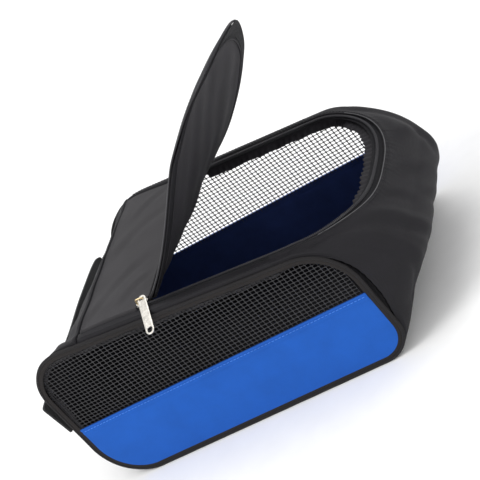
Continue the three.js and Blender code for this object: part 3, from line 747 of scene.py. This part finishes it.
def make_toe():
    """The toe panel, as rings from the rim of the opening out to the side and bottom seams."""
    around, out = 360, 90
    line, _ = rim_line(RAIL_TOE_D, around)
    starts = outline_starts(np.array(0.0))[2]
    low = float(starts[5] - starts[8])
    t = np.linspace(0, 3, around)
    edge_d = np.where(t < 1, lerp(RAIL_TOE_D, low, t), np.where(t < 2, low, lerp(low, RAIL_TOE_D, t - 2)))
    edge_y = np.where(t < 1, -1, np.where(t < 2, lerp(-1, 1, t - 1), 1)) * GUSSET_HALF
    u = np.linspace(0, 1, out)[None]
    d = lerp(line[:, :1], edge_d[:, None], u)
    y = lerp(line[:, 1:], edge_y[:, None], u)
    rim_distance = u * np.hypot(edge_d - line[:, 0], edge_y - line[:, 1])[:, None]
    pucker = 0.0004 * ripple(np.arange(around)[:, None], 0 * u, 9, 8.0) * np.exp(-rim_distance / 0.004)
    lift = body_lift(d, y) * smoothstep(rim_distance, 0, 0.012) + pucker
    lift = lift + edge_roll(side_distance(y)) + edge_roll(d - low)
    lift = lift + 0.0009 * hump(rim_distance, 0.002, 0.0022)
    dress(panel("toe_cloth", gusset, d, y, lift), "black_cloth", "bag", "toe_panel")


FACING_START = 0.0060
FACING_REACH = (0.0056, 0.0130)
FACING_LIFT = -0.0042
FACING_FALL = (0.0030, 0.0100)
FACING_NOSE_FALL = 0.0060
FACING_WIDTH = 0.015
FACING = 0.0009


def make_facing():
    """The ruffled strip inside the rim: it leans inward at the round end and hangs at the sides."""
    line, inward = rim_line(HINGE_D - 0.010, 460, -FACING_START)
    line, inward = line[3:-3], inward[3:-3]
    share = np.linspace(0, 1, 12)[None]
    lean = smoothstep(inward[:, :1], 0.15, 0.85)
    far = smoothstep(line[:, 1:], -0.02, 0.06)
    wave = np.sin(np.linspace(0, 150 * np.pi, len(line)))[:, None] * 0.0007
    ruffle = (wave + 0.0016 * ripple(*line.T, 5, 0.03)[:, None]) * share**2
    reach = lerp(*FACING_REACH, lean) * share**0.9 + ruffle
    d = line[:, :1] + inward[:, :1] * reach
    y = line[:, 1:] + inward[:, 1:] * reach
    fall = lerp(lerp(*FACING_FALL, far), FACING_NOSE_FALL, lean)
    lift = FACING_LIFT - fall * share**1.4 + ruffle * 0.8
    uv = pairs(run_along(line)[:, None], share * FACING_WIDTH)
    facing = panel("rim_facing_cloth", gusset, d, y, lift, FACING, uv)
    dress(facing, "lining", "bag", "rim_facing")
    arc, _ = rim_line(ROUND_START - 0.012, 320, -0.0004)
    arc = arc[56:-56]
    edge = tube("rim_edge", gusset(*arc.T, 0.0006), 0.00045, (0, 0, 1), 6)
    dress(edge, "pale_edge", "bag")


def make_body_zip():
    zip_end = HINGE_D + BODY_ZIP_END
    insets = np.linspace(*BODY_TAPE, 9)
    zip_tape("body_zip_tape", gusset, zip_end, insets, TAPE_LIFT, "bag", "zip_tape_body")
    coil_end = zip_end - STOP_LENGTH
    zip_coil("body_zip_teeth", gusset, coil_end, BODY_TEETH, TOOTH_LEAN, "bag", "zip_coil_body")
    for side, word in BOTH_SIDES:
        y = side * (RIM_HALF_WIDTH - np.linspace(0.0018, 0.0052, 8))[None]
        d = zip_end - np.linspace(0.0030, 0.0004, 8)[:, None]
        dome = 0.0006 * np.cos((d - d.mean()) / 0.0013 * 1.2) * np.cos((y - y.mean()) / 0.0017 * 1.2)
        stop = panel(f"{word}_zip_stop", gusset, d, y, COIL_LIFT + 0.0006 + dome, 0.0020)
        dress(stop, "zip_coil", "bag", f"{word}_end_stop")
    line, _ = rim_line(zip_end, 700, -0.0022)
    sew("rim_stitches", gusset, *line.T, 0.0010)


# ---- Flap ----

def flap_lift(d, y, amount=1.0):
    """Soft folds that run along the flap."""
    along = ripple(d, y, 21, 0.045, stretch=(5.0, 1.0)) * 0.0016
    return amount * (along + 0.0008 * ripple(d, y, 22, 0.09))


def flap_patch(heel_d, inset):
    y = (RIM_HALF_WIDTH - inset) * np.sin(np.linspace(-0.5, 0.5, 100) * np.pi)[None]
    d = lerp(heel_d, nose_d(y, inset), np.linspace(0, 1, 110)[:, None])
    return d, np.broadcast_to(y, d.shape)


def edge_distance(d, y, inset):
    return np.minimum(RIM_HALF_WIDTH - inset - np.abs(y), d - nose_d(y, inset))


def make_flap():
    d, y = flap_patch(HINGE_D + 0.0012, FLAP_CLOTH_INSET)
    inside = edge_distance(d, y, FLAP_CLOTH_INSET)
    free = smoothstep(inside, 0, 0.02) * smoothstep(HINGE_D - d, 0, 0.02)
    lift = flap_lift(d, y) * free + 0.0007 * hump(inside, 0.002, 0.002)
    # The flap's lighter cloth is painted light on the black cloth
    dress(panel("flap_cloth", flap_surface, d, y, lift), "rear_cloth_painted_light", "flap_blend", "flap_panel")

    d, y = flap_patch(HINGE_D - 0.001, LINING_INSET)
    inside = edge_distance(d, y, LINING_INSET)
    free = smoothstep(inside, 0, 0.015) * smoothstep(HINGE_D - d, 0, 0.02)
    lift = -CLOTH - 0.0014 - 0.0012 * free + (flap_lift(d, y, 1.2) - 0.0010) * free
    lining = panel("flap_lining_cloth", flap_surface, d, y, lift, 0.0010)
    dress(lining, "lining", "flap_blend", "flap_lining")

    zip_start = HINGE_D - FLAP_ZIP_START
    insets = np.linspace(*FLAP_TAPE, 9)
    drop = np.interp(insets, [FLAP_TAPE[0], 0.0100, FLAP_TAPE[1]], [0, -0.0001, -0.0011])[None]
    ends = (flap_surface, zip_start)
    zip_tape("flap_zip_tape", *ends, insets, TAPE_LIFT + drop, "flap_blend", "zip_tape_flap")
    zip_coil("flap_zip_teeth", *ends, FLAP_TEETH, -TOOTH_LEAN, "flap_blend", "zip_coil_flap")
    for word, inset, lift in (("outer", 0.0135, 0.0003), ("inner", 0.0148, -0.0050)):
        line, _ = rim_line(zip_start, 700, inset)
        sew(f"flap_{word}_stitches", flap_surface, *line.T, lift, body="flap_blend")
    line, _ = rim_line(HINGE_D - 0.004, 500, FLAP_TAPE[1] + 0.0008)
    bead = flap_surface(*line.T, -0.0042)
    above = flap_surface(*line.T, -0.0032)
    dress(tube("flap_binding", bead, 0.0011, above - bead, 8), "lining", "flap_blend")


def make_hinge():
    """The tape that bridges the hinge seam underneath, and the rolled edge above it."""
    y = np.linspace(-HINGE_TAPE_HALF, HINGE_TAPE_HALF, 90)[None]
    d = HINGE_D + np.linspace(*HINGE_TAPE, 16)[:, None]
    tape = panel("hinge_tape", gusset, d, y, -0.0026, TAPE)
    dress(tape, "binding", "bag", "hinge_seam_binding")
    y = np.linspace(-HINGE_ROLL_HALF, HINGE_ROLL_HALF, 160)
    lift = 0.0002 + 0.0002 * np.sin(y * 900)
    roll = gusset(np.full_like(y, HINGE_D + 0.0022), y, lift)
    # The hinge roll's lighter cloth is painted light on the black cloth
    dress(tube("hinge_roll", roll, HINGE_ROLL_RADIUS, (0, 0, 1), 10), "rear_cloth_painted_light", "bag")


# ---- Side panels ----

def side_point(d, inset, side, y):
    """A point on a side panel: d along its outline, moved in by inset."""
    x, z, nx, nz, _ = outline(d, side * HALF_WIDTH)
    return np.stack(np.broadcast_arrays(x - nx * inset, y, z - nz * inset), -1)


def on_side_panel(side, depth):
    """The surface that lies a depth inside a side panel's plane and bellies with it."""

    def surface(d, inset, lift):
        points = side_point(d, inset, side, side * (HALF_WIDTH - depth + lift))
        points[..., 1] += billow(points[..., 0], points[..., 2], side)
        return points

    return surface


def side_starts(side):
    """Where each line and arc of a side's outline starts; the last is the whole way round."""
    return [float(start) for start in outline_starts(np.array(side * HALF_WIDTH))[2]]


def side_edges(side, inset):
    """The outline moved in by inset, as functions of height: its heel and toe X positions."""
    starts = side_starts(side)
    d = np.linspace(0, starts[8], 4000)
    x, z, nx, nz, _ = outline(d, side * HALF_WIDTH)
    x, z = x - nx * inset, z - nz * inset
    middle = (starts[4] + starts[5]) / 2
    heel = (d >= starts[1]) & (d < middle)
    toe = (d >= middle) & (d <= starts[8] - 1e-5)

    def edge(mask):
        order = np.argsort(z[mask])
        return z[mask][order], x[mask][order]

    return edge(heel), edge(toe)


def billow(x, z, side):
    """How a side panel bellies in and out, still at the band's top edge."""
    return side * 0.0012 * ripple(x, z, 31 + side, 0.11) * smoothstep(z, BAND_HEIGHT, BAND_HEIGHT + 0.02)


NET_PITCH = (0.0050, 0.0037)
NET_THREAD = (0.00048, 0.00044)
NET_THICKNESS = 0.0006
NET_CORNER = 0.84
NET_EDGE = 0.0052
NET_OVERLAP = 0.0040
BAND_INSET = 0.0066
BAND_LAYERS = (0.0013, 0.0015, 0.0021)
BAND_STITCH_DROP = 0.0032
BAND_STITCH = (0.0028, 0.0040, 0.0008)
BORDER_STITCH = (0.0022, 0.0034, 0.0007)
BORDER_WIDTHS = (0.0050, 0.0118)
PIPING_RADIUS = 0.00172
PIPING_INSET = 0.00175
WELT = (0.0026, 0.0072)
BINDING_WIDTH = 0.0060
AROUND = [(-1, -1), (0, -1), (1, -1), (1, 0), (1, 1), (0, 1), (-1, 1), (-1, 0)]


def make_net(side, word):
    """Real net: a rounded hole in every cell, with thread between them."""
    (heel_z, heel_x), (toe_z, toe_x) = side_edges(side, NET_EDGE)
    low = BAND_HEIGHT - NET_OVERLAP
    half = np.array(NET_PITCH) / 2
    hole_half = half - np.array(NET_THREAD) / 2
    points, faces, index = [], [], {}

    def vertex(key, place):
        if key not in index:
            index[key] = len(points)
            points.append(place)
        return index[key]

    def is_inside(x, z):
        top = lerp(HEEL_HEIGHT, TOE_HEIGHT, x / LENGTH + 0.5) - NET_EDGE
        return np.interp(z, heel_z, heel_x) < x < np.interp(z, toe_z, toe_x) and z < top

    for row in range(int((HEEL_HEIGHT - low) / NET_PITCH[1]) + 2):
        for column in range(int(LENGTH / NET_PITCH[0]) + 2):
            centre = np.array([-LENGTH / 2, low]) + (2 * np.array([column, row]) + 1) * half
            if not all(is_inside(*(centre + corner * half)) for corner in np.array(AROUND[::2])):
                continue
            rim, hole = [], []
            for k, (a, b) in enumerate(AROUND):
                pull = NET_CORNER if a and b else 1.0
                rim.append(vertex((2 * column + 1 + a, 2 * row + 1 + b), centre + (a, b) * half))
                hole.append(vertex((column, row, k), centre + (a, b) * hole_half * pull))
            for k in range(8):
                m = (k + 1) % 8
                faces.append((rim[k], rim[m], hole[m], hole[k]))
    flat = np.array(points)
    x = flat[:, 0] + 0.0012 * ripple(*flat.T, 41, 0.09)
    settle = smoothstep(flat[:, 1], BAND_HEIGHT, BAND_HEIGHT + 0.02)
    z = flat[:, 1] + 0.0010 * ripple(*flat.T, 42, 0.08) * settle
    y = side * (HALF_WIDTH - 0.0021) + billow(x, z, side)
    front = np.stack([x, y + side * NET_THICKNESS / 2, z], 1)
    back = np.stack([x, y - side * NET_THICKNESS / 2, z], 1)
    count = len(flat)
    edges = dict.fromkeys((a, b) for face in faces for a, b in zip(face, face[1:] + face[:1]))
    solid = list(faces) + [tuple(v + count for v in reversed(face)) for face in faces]
    solid.extend((b, a, a + count, b + count) for a, b in edges if (b, a) not in edges)
    net = finish_mesh(f"{word}_net", np.concatenate([front, back]), solid, np.concatenate([flat, flat]))
    dress(net, "net", "bag", f"{word}_mesh")


def make_net_border(side, word):
    """Cloth behind the net's edge, wider along the heel and the top, with two rows of stitches."""
    d = np.linspace(-0.062, side_starts(side)[3] - 0.022, 620)
    d = d[outline(d, side * HALF_WIDTH)[1] > BAND_HEIGHT - NET_OVERLAP]
    width = lerp(*BORDER_WIDTHS, smoothstep(d, -0.05, 0.03)) + 0.0008 * ripple(d, np.zeros_like(d), 51, 0.02)
    inset = lerp(0.0024, width[:, None], np.linspace(0, 1, 8)[None])
    outer = side_point(d[:, None], inset, side, side * (HALF_WIDTH - 0.0027))
    outer[..., 1] += billow(outer[..., 0], outer[..., 2], side) * smoothstep(inset, 0.002, 0.009)
    inner = outer - np.array([0, side * 0.0009, 0])
    border = shell(f"{word}_net_border", outer, inner, pairs(d[:, None], inset))
    # The border's lighter cloth is painted light on the black cloth
    dress(border, "rear_cloth_painted_light", "bag")
    surface = on_side_panel(side, 0.0012)
    for number, gap in enumerate((0.0012, 0.0040)):
        sew(f"{word}_border_stitches_{number}", surface, d, width - gap, 0.0001, BORDER_STITCH)


def make_band(side, word):
    """The coloured band: a plain cloth panel whose top edge is folded and stitched, on a navy backing sheet
    whose colour is painted shade of the blue cloth's inside.
    """
    (heel_z, heel_x), (toe_z, toe_x) = side_edges(side, BAND_INSET)
    z = BAND_INSET + 0.0001 + (BAND_HEIGHT - BAND_INSET) * np.linspace(0, 1, 60) ** 1.5
    z = np.r_[z[:-1], BAND_HEIGHT - 0.0006, BAND_HEIGHT][:, None]
    u = np.linspace(0, 1, 220)[None]
    x = lerp(np.interp(z, heel_z, heel_x), np.interp(z, toe_z, toe_x), u)
    z = np.broadcast_to(z, x.shape)
    fall = BAND_HEIGHT - z
    soft = smoothstep(np.minimum(u, 1 - u) * LENGTH, 0, 0.03) * smoothstep(z, BAND_INSET, 0.03)
    puff = 0.0010 * ripple(x, z, 61 + side, 0.10) * soft * smoothstep(fall, 0.004, 0.024)
    fold = 0.0006 * smoothstep(-fall, -0.0075, -0.0065)
    groove = -0.0006 * hump(fall, BAND_STITCH_DROP, 0.0007)
    stretch = 0.0003 * np.sin(x * 2 * np.pi / 0.0040) * hump(fall, BAND_STITCH_DROP, 0.0016)
    outer = np.stack([x, side * (HALF_WIDTH - 0.0006 + puff + fold + groove + stretch), z], -1)
    layers = [outer - np.array([0, side * depth, 0]) for depth in BAND_LAYERS]
    uv = np.stack([x, z], -1)
    dress(shell(f"{word}_band", outer, layers[0], uv), "blue_cloth", "bag", f"{word}_blue_band")
    # The backing sheet's navy colour is painted shade of the band's inside
    dress(shell(f"{word}_band_shade_backing", *layers[1:], uv), "navy_painted_shade", "bag")

    def on_band(xx, zz, lift):
        return np.stack([xx, np.full_like(xx, side * (HALF_WIDTH - 0.0004 + lift)), zz], -1)

    x = np.linspace(-LENGTH / 2 + 0.009, LENGTH / 2 - 0.009, 400)
    z = np.full_like(x, BAND_HEIGHT - BAND_STITCH_DROP)
    sew(f"{word}_band_stitches", on_band, x, z, 0.0004, BAND_STITCH, finish="blue_thread")


def make_piping(side, word):
    """The piping cord, and the flat welt that lies inside it."""
    d = np.linspace(0, side_starts(side)[8], 620, endpoint=False)
    wobble = 0.00015 * ripple(d, np.zeros_like(d), 71, 0.03)
    centre = side_point(d, PIPING_INSET + wobble, side, side * (HALF_WIDTH - PIPING_INSET))
    cord = tube(f"{word}_piping_cord", centre, PIPING_RADIUS, (0, side, 0), 12, closed=True)
    dress(cord, "binding", "bag", f"{word}_piping")
    inset = np.linspace(*WELT, 7)[None]
    stand = side * (HALF_WIDTH - 0.0009 + 0.0005 * np.sin(np.linspace(0, np.pi, 7))[None])
    outer = side_point(d[:, None], inset, side, stand)
    inner = side_point(d[:, None], inset, side, stand - side * 0.0008)
    dress(shell(f"{word}_welt", outer, inner, pairs(d[:, None], inset), ring=True), "welt", "bag")


def make_inner_binding(side, word):
    d = np.linspace(0, side_starts(side)[8], 420, endpoint=False)[:, None]
    y = side * (GUSSET_HALF - np.linspace(0, BINDING_WIDTH, 5)[None])
    lift = -CLOTH - 0.0022 - 0.0003 * np.sin(d * 800)
    binding = panel(f"{word}_inner_binding", gusset, d, y, lift, 0.0010, ring=True)
    dress(binding, "binding", "bag", f"{word}_seam_binding")


# ---- Grab handle ----

HANDLE_HEIGHT = 0.037
HANDLE_CENTRE_Z = 0.097
HANDLE_LEAN = 0.14
HANDLE_REACH = 0.004
HANDLE_BOW_POWER = 10
HANDLE_STANDOFF = 0.0051
HANDLE_OUTER = 0.0024
WEBBING = 0.0021
TACK_HALF = 0.016
TACK_INSETS = (0.004, 0.009)
TACK_STITCH = (0.0024, 0.0030, 0.0008)


def handle_x(y, height):
    """The handle's inner face: it stands off the heel, leans back and bows out between its ends."""
    bow = (1 - np.abs(y / HALF_WIDTH) ** HANDLE_BOW_POWER) * HANDLE_REACH
    return -LENGTH / 2 - HANDLE_STANDOFF - bow - height * HANDLE_LEAN


def make_handle():
    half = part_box("grab_handle")[1].y
    u = np.sin(np.linspace(-0.5, 0.5, 160) * np.pi)[:, None]
    v = np.linspace(-0.5, 0.5, 26)[None] * (1 - 0.12 * np.abs(u) ** 80)
    y = u * half
    height = v * HANDLE_HEIGHT
    curl = 0.0004 * (np.abs(2 * v) ** 3) * (1 - np.abs(u) ** 6) + 0.0012 * np.abs(u) ** 60
    x = handle_x(y, height) + curl - HANDLE_OUTER
    x = x + 0.0010 * ripple(y, height, 81, 0.09) * (1 - u**4)
    z = HANDLE_CENTRE_Z + height + 0.0015 * np.sin(u * 2.2)
    outer = np.stack(np.broadcast_arrays(x, y, z), -1)
    webbing = shell("handle_webbing", outer, outer + np.array([WEBBING, 0, 0]), pairs(height, y))
    dress(webbing, "webbing", "handle", "grab_handle")

    def on_handle(y, height, lift):
        x = handle_x(y, height) - HANDLE_OUTER - 0.0002 - lift
        return np.stack([x, y, HANDLE_CENTRE_Z + height], 1)

    height = np.linspace(-TACK_HALF, TACK_HALF, 40)
    for side, word in BOTH_SIDES:
        for number, inset in enumerate(TACK_INSETS):
            y = np.full_like(height, side * (half - inset))
            sew(f"handle_{word}_tack_{number}", on_handle, y, height, 0.0002, TACK_STITCH, "handle")


# ---- Slider and pull tab ----

SLIDER_X = HINGE_X - 0.007
SLIDER_INSET = 0.00555
TRACK = gusset(along_top(SLIDER_X), -(RIM_HALF_WIDTH - SLIDER_INSET))
TRACK_PLACE = Matrix.Translation(TRACK) @ Matrix.Rotation(TOP_SLOPE, 4, "Y")
TOP_PLATE_LIFT = 0.00065
PLATE = 0.0011
BOTTOM_PLATE_LIFT = -0.00515
BAIL_LIFT = TOP_PLATE_LIFT + PLATE + 0.0032
TAB_DROOP = math.radians(17.5)
TAB_YAW = math.radians(16)
TAB_OFFSET = 0.0022
BAIL_ENDS = (-0.0049, 0.0034)
BAIL_TOP = BAIL_LIFT + 0.0014
BAIL_RADIUS = 0.0008
BAIL_SQUARENESS = 0.45
SLIDER_HALF_LENGTH = 0.00625
SLIDER_HALF_WIDTHS = (0.0034, 0.0044)
TAB_LENGTH = 0.044
TAB_HALF_WIDTH = 0.0045
TAB_THICKNESS = 0.0014
EYE_RADIUS = 0.0024
SLOT_RADII = (0.0027, 0.0036)


def flat_plate(name, outlines, thickness, bevel, place):
    """A plate with bevelled edges from closed outlines in its own XY plane; later ones are holes."""
    curve = bpy.data.curves.new(name, "CURVE")
    curve.dimensions = "2D"
    curve.fill_mode = "BOTH"
    curve.extrude = thickness / 2 - bevel
    curve.bevel_depth = bevel
    curve.bevel_resolution = 3
    curve.offset = -bevel
    for outline_points in outlines:
        spline = curve.splines.new("POLY")
        spline.points.add(len(outline_points) - 1)
        spline.use_cyclic_u = True
        for point, (px, py) in zip(spline.points, outline_points):
            point.co = (px, py, 0, 1)
    holder = add_object(name + "_curve", curve)
    bpy.context.view_layer.update()
    mesh = bpy.data.meshes.new_from_object(holder.evaluated_get(bpy.context.evaluated_depsgraph_get()))
    bpy.data.objects.remove(holder)
    mesh.transform(place)
    mesh.name = name
    finish_faces(mesh, PLATE_SHARP, MERGE)
    return add_object(name, mesh)


def squared(value, power):
    return math.copysign(abs(value) ** power, value)


def slider_outline():
    """The slider's shield: wide shoulders at the toe end, narrower at the heel end."""
    points = []
    for c, s in ellipse(0, 0, 1, 1, 48):
        along = squared(c, 0.75)
        width = lerp(*SLIDER_HALF_WIDTHS, (along + 1) / 2)
        points.append((SLIDER_HALF_LENGTH * along, width * squared(s, 0.6)))
    return points


def make_slider():
    plates = []
    for number, lift in enumerate((TOP_PLATE_LIFT, BOTTOM_PLATE_LIFT)):
        place = TRACK_PLACE @ Matrix.Translation((0, 0, lift + PLATE / 2))
        plates.append(flat_plate(f"slider_plate_{number}", [slider_outline()], PLATE, 0.0003, place))
    height = TOP_PLATE_LIFT - BOTTOM_PLATE_LIFT - PLATE
    wedge = [(0.0045, 0.00035), (-0.0045, 0.00028), (-0.0045, -0.00028), (0.0045, -0.00035)]
    place = TRACK_PLACE @ Matrix.Translation((0, 0, BOTTOM_PLATE_LIFT + PLATE + height / 2))
    plates.append(flat_plate("slider_wedge", [wedge], height, 0.00005, place))
    for side, _ in BOTH_SIDES:
        line = [(x, side * 0.0039, TOP_PLATE_LIFT) for x in np.linspace(-0.0042, 0.0030, 14)]
        placed = [TRACK_PLACE @ Vector(p) for p in line]
        plates.append(tube(f"slider_flange_{side + 1}", placed, 0.00045, (0, 0, 1), 8))
    dress(join("zip_slider", plates), "nickel", "slider", "slider_body")

    base = TOP_PLATE_LIFT + PLATE + 0.0001
    profile = []
    for k in range(33):
        a = math.pi * k / 32
        x = lerp(*BAIL_ENDS, (1 - squared(math.cos(a), BAIL_SQUARENESS)) / 2)
        z = lerp(base, BAIL_TOP, math.sin(a) ** BAIL_SQUARENESS)
        profile.append(TRACK_PLACE @ Vector((x, 0, z)))
    bail = tube("zip_bail", profile, BAIL_RADIUS, TRACK_PLACE.to_3x3() @ Vector((0, 1, 0)), 12)
    dress(bail, "brass", "slider", "slider_bail")


def make_tab():
    """A flat pull with a round eye on the bail and an oval slot at its free end."""
    half = TAB_HALF_WIDTH
    end = half - TAB_LENGTH
    edge = ellipse(0, 0, half, half, 24, 0.0, math.pi) + ellipse(0, end, half, half, 24, math.pi, math.pi)
    eye = ellipse(0, 0, EYE_RADIUS, EYE_RADIUS, 32)
    slot = ellipse(0, end + 0.0006, *SLOT_RADII)
    place = TRACK_PLACE @ Matrix.Translation((0, 0, BAIL_LIFT)) @ Matrix.Rotation(TAB_DROOP, 4, "X")
    place = place @ Matrix.Translation((TAB_OFFSET, -0.0006, 0)) @ Matrix.Rotation(TAB_YAW, 4, "Z")
    tab = flat_plate("zip_pull_tab", [edge, eye, slot], TAB_THICKNESS, 0.0004, place)
    dress(tab, "nickel", "pull_tab", "pull_tab")


def make_seam_stitches():
    """Top stitching beside the heel seam and along the rails."""
    y = np.linspace(-RIM_HALF_WIDTH + 0.002, RIM_HALF_WIDTH - 0.002, 300)

    def on_body(d, yy, lift):
        return gusset(d, yy, body_lift(d, yy) + lift)

    for number, d in enumerate((SEAM_D - 0.0036, SEAM_D + 0.0040)):
        sew(f"heel_seam_stitches_{number}", on_body, np.full_like(y, d), y, 0.0006)
    for side, word in BOTH_SIDES:
        d = np.linspace(RAIL_TOE_D, SEAM_D - 0.004, 400)
        for number, width in enumerate((RIM_HALF_WIDTH + 0.0030, GUSSET_HALF - 0.0028)):
            sew(f"{word}_rail_stitches_{number}", on_body, d, np.full_like(d, side * width), 0.0002)


make_base()
make_heel()
make_rear()
make_toe()
make_facing()
make_body_zip()
make_hinge()
make_flap()
for SIDE, WORD in BOTH_SIDES:
    make_rail(SIDE, WORD)
    make_net(SIDE, WORD)
    make_net_border(SIDE, WORD)
    make_band(SIDE, WORD)
    make_piping(SIDE, WORD)
    make_inner_binding(SIDE, WORD)
make_handle()
make_slider()
make_tab()
make_seam_stitches()


# ---- Floor, light and camera ----

FLOOR_HALF = 12.0


def make_floor():
    mesh = bpy.data.meshes.new("floor")
    corners = [(FLOOR_HALF * a, FLOOR_HALF * b, 0) for a, b in ((-1, -1), (1, -1), (1, 1), (-1, 1))]
    mesh.from_pydata(corners, [], [(0, 1, 2, 3)])
    floor = add_object("floor", mesh)
    nodes = Nodes("floor_paper")
    pale = nodes.ramp(nodes.noise(30.0, 4.0), (0.90, 0.90, 0.90), (0.93, 0.93, 0.93))
    mesh.materials.append(nodes.surface(Base_Color=pale, Roughness=0.9))


def add_area(name, place, target, size, power):
    light = bpy.data.lights.new(name, "AREA")
    light.shape = "DISK"
    light.size = size
    light.energy = power
    holder = add_object(name, light)
    holder.location = place
    direction = Vector(target) - holder.location
    holder.rotation_euler = direction.to_track_quat("-Z", "Y").to_euler()


def make_lights():
    world = bpy.data.worlds.new("studio")
    world.use_nodes = True
    background = world.node_tree.nodes["Background"]
    background.inputs["Color"].default_value = (1, 1, 1, 1)
    background.inputs["Strength"].default_value = 0.95
    bpy.context.scene.world = world
    add_area("key", (-0.9, -1.3, 1.9), (0, 0, 0.08), 1.3, 20)
    add_area("fill", (1.6, -0.9, 1.1), (0, 0, 0.08), 1.6, 6)
    add_area("top", (0.1, 0.9, 2.0), (0, 0, 0.1), 1.6, 10)


CAMERA_PLACE = Vector((0.853, -1.330, 0.807))
CAMERA_LOOK = Vector((-0.479, 0.779, -0.404)).normalized()
CAMERA_UP = Vector((0.406, 0.605, 0.685))


def make_camera():
    data = bpy.data.cameras.new("camera")
    data.lens = 135
    data.sensor_width = 36
    camera = add_object("camera", data)
    right = CAMERA_LOOK.cross(CAMERA_UP).normalized()
    up = right.cross(CAMERA_LOOK).normalized()
    turned = Matrix((right, up, -CAMERA_LOOK)).transposed().to_4x4()
    camera.matrix_world = Matrix.Translation(CAMERA_PLACE) @ turned
    bpy.context.scene.camera = camera


make_floor()
make_lights()
make_camera()
bpy.context.scene.view_settings.view_transform = "Standard"

bpy.context.view_layer.update()
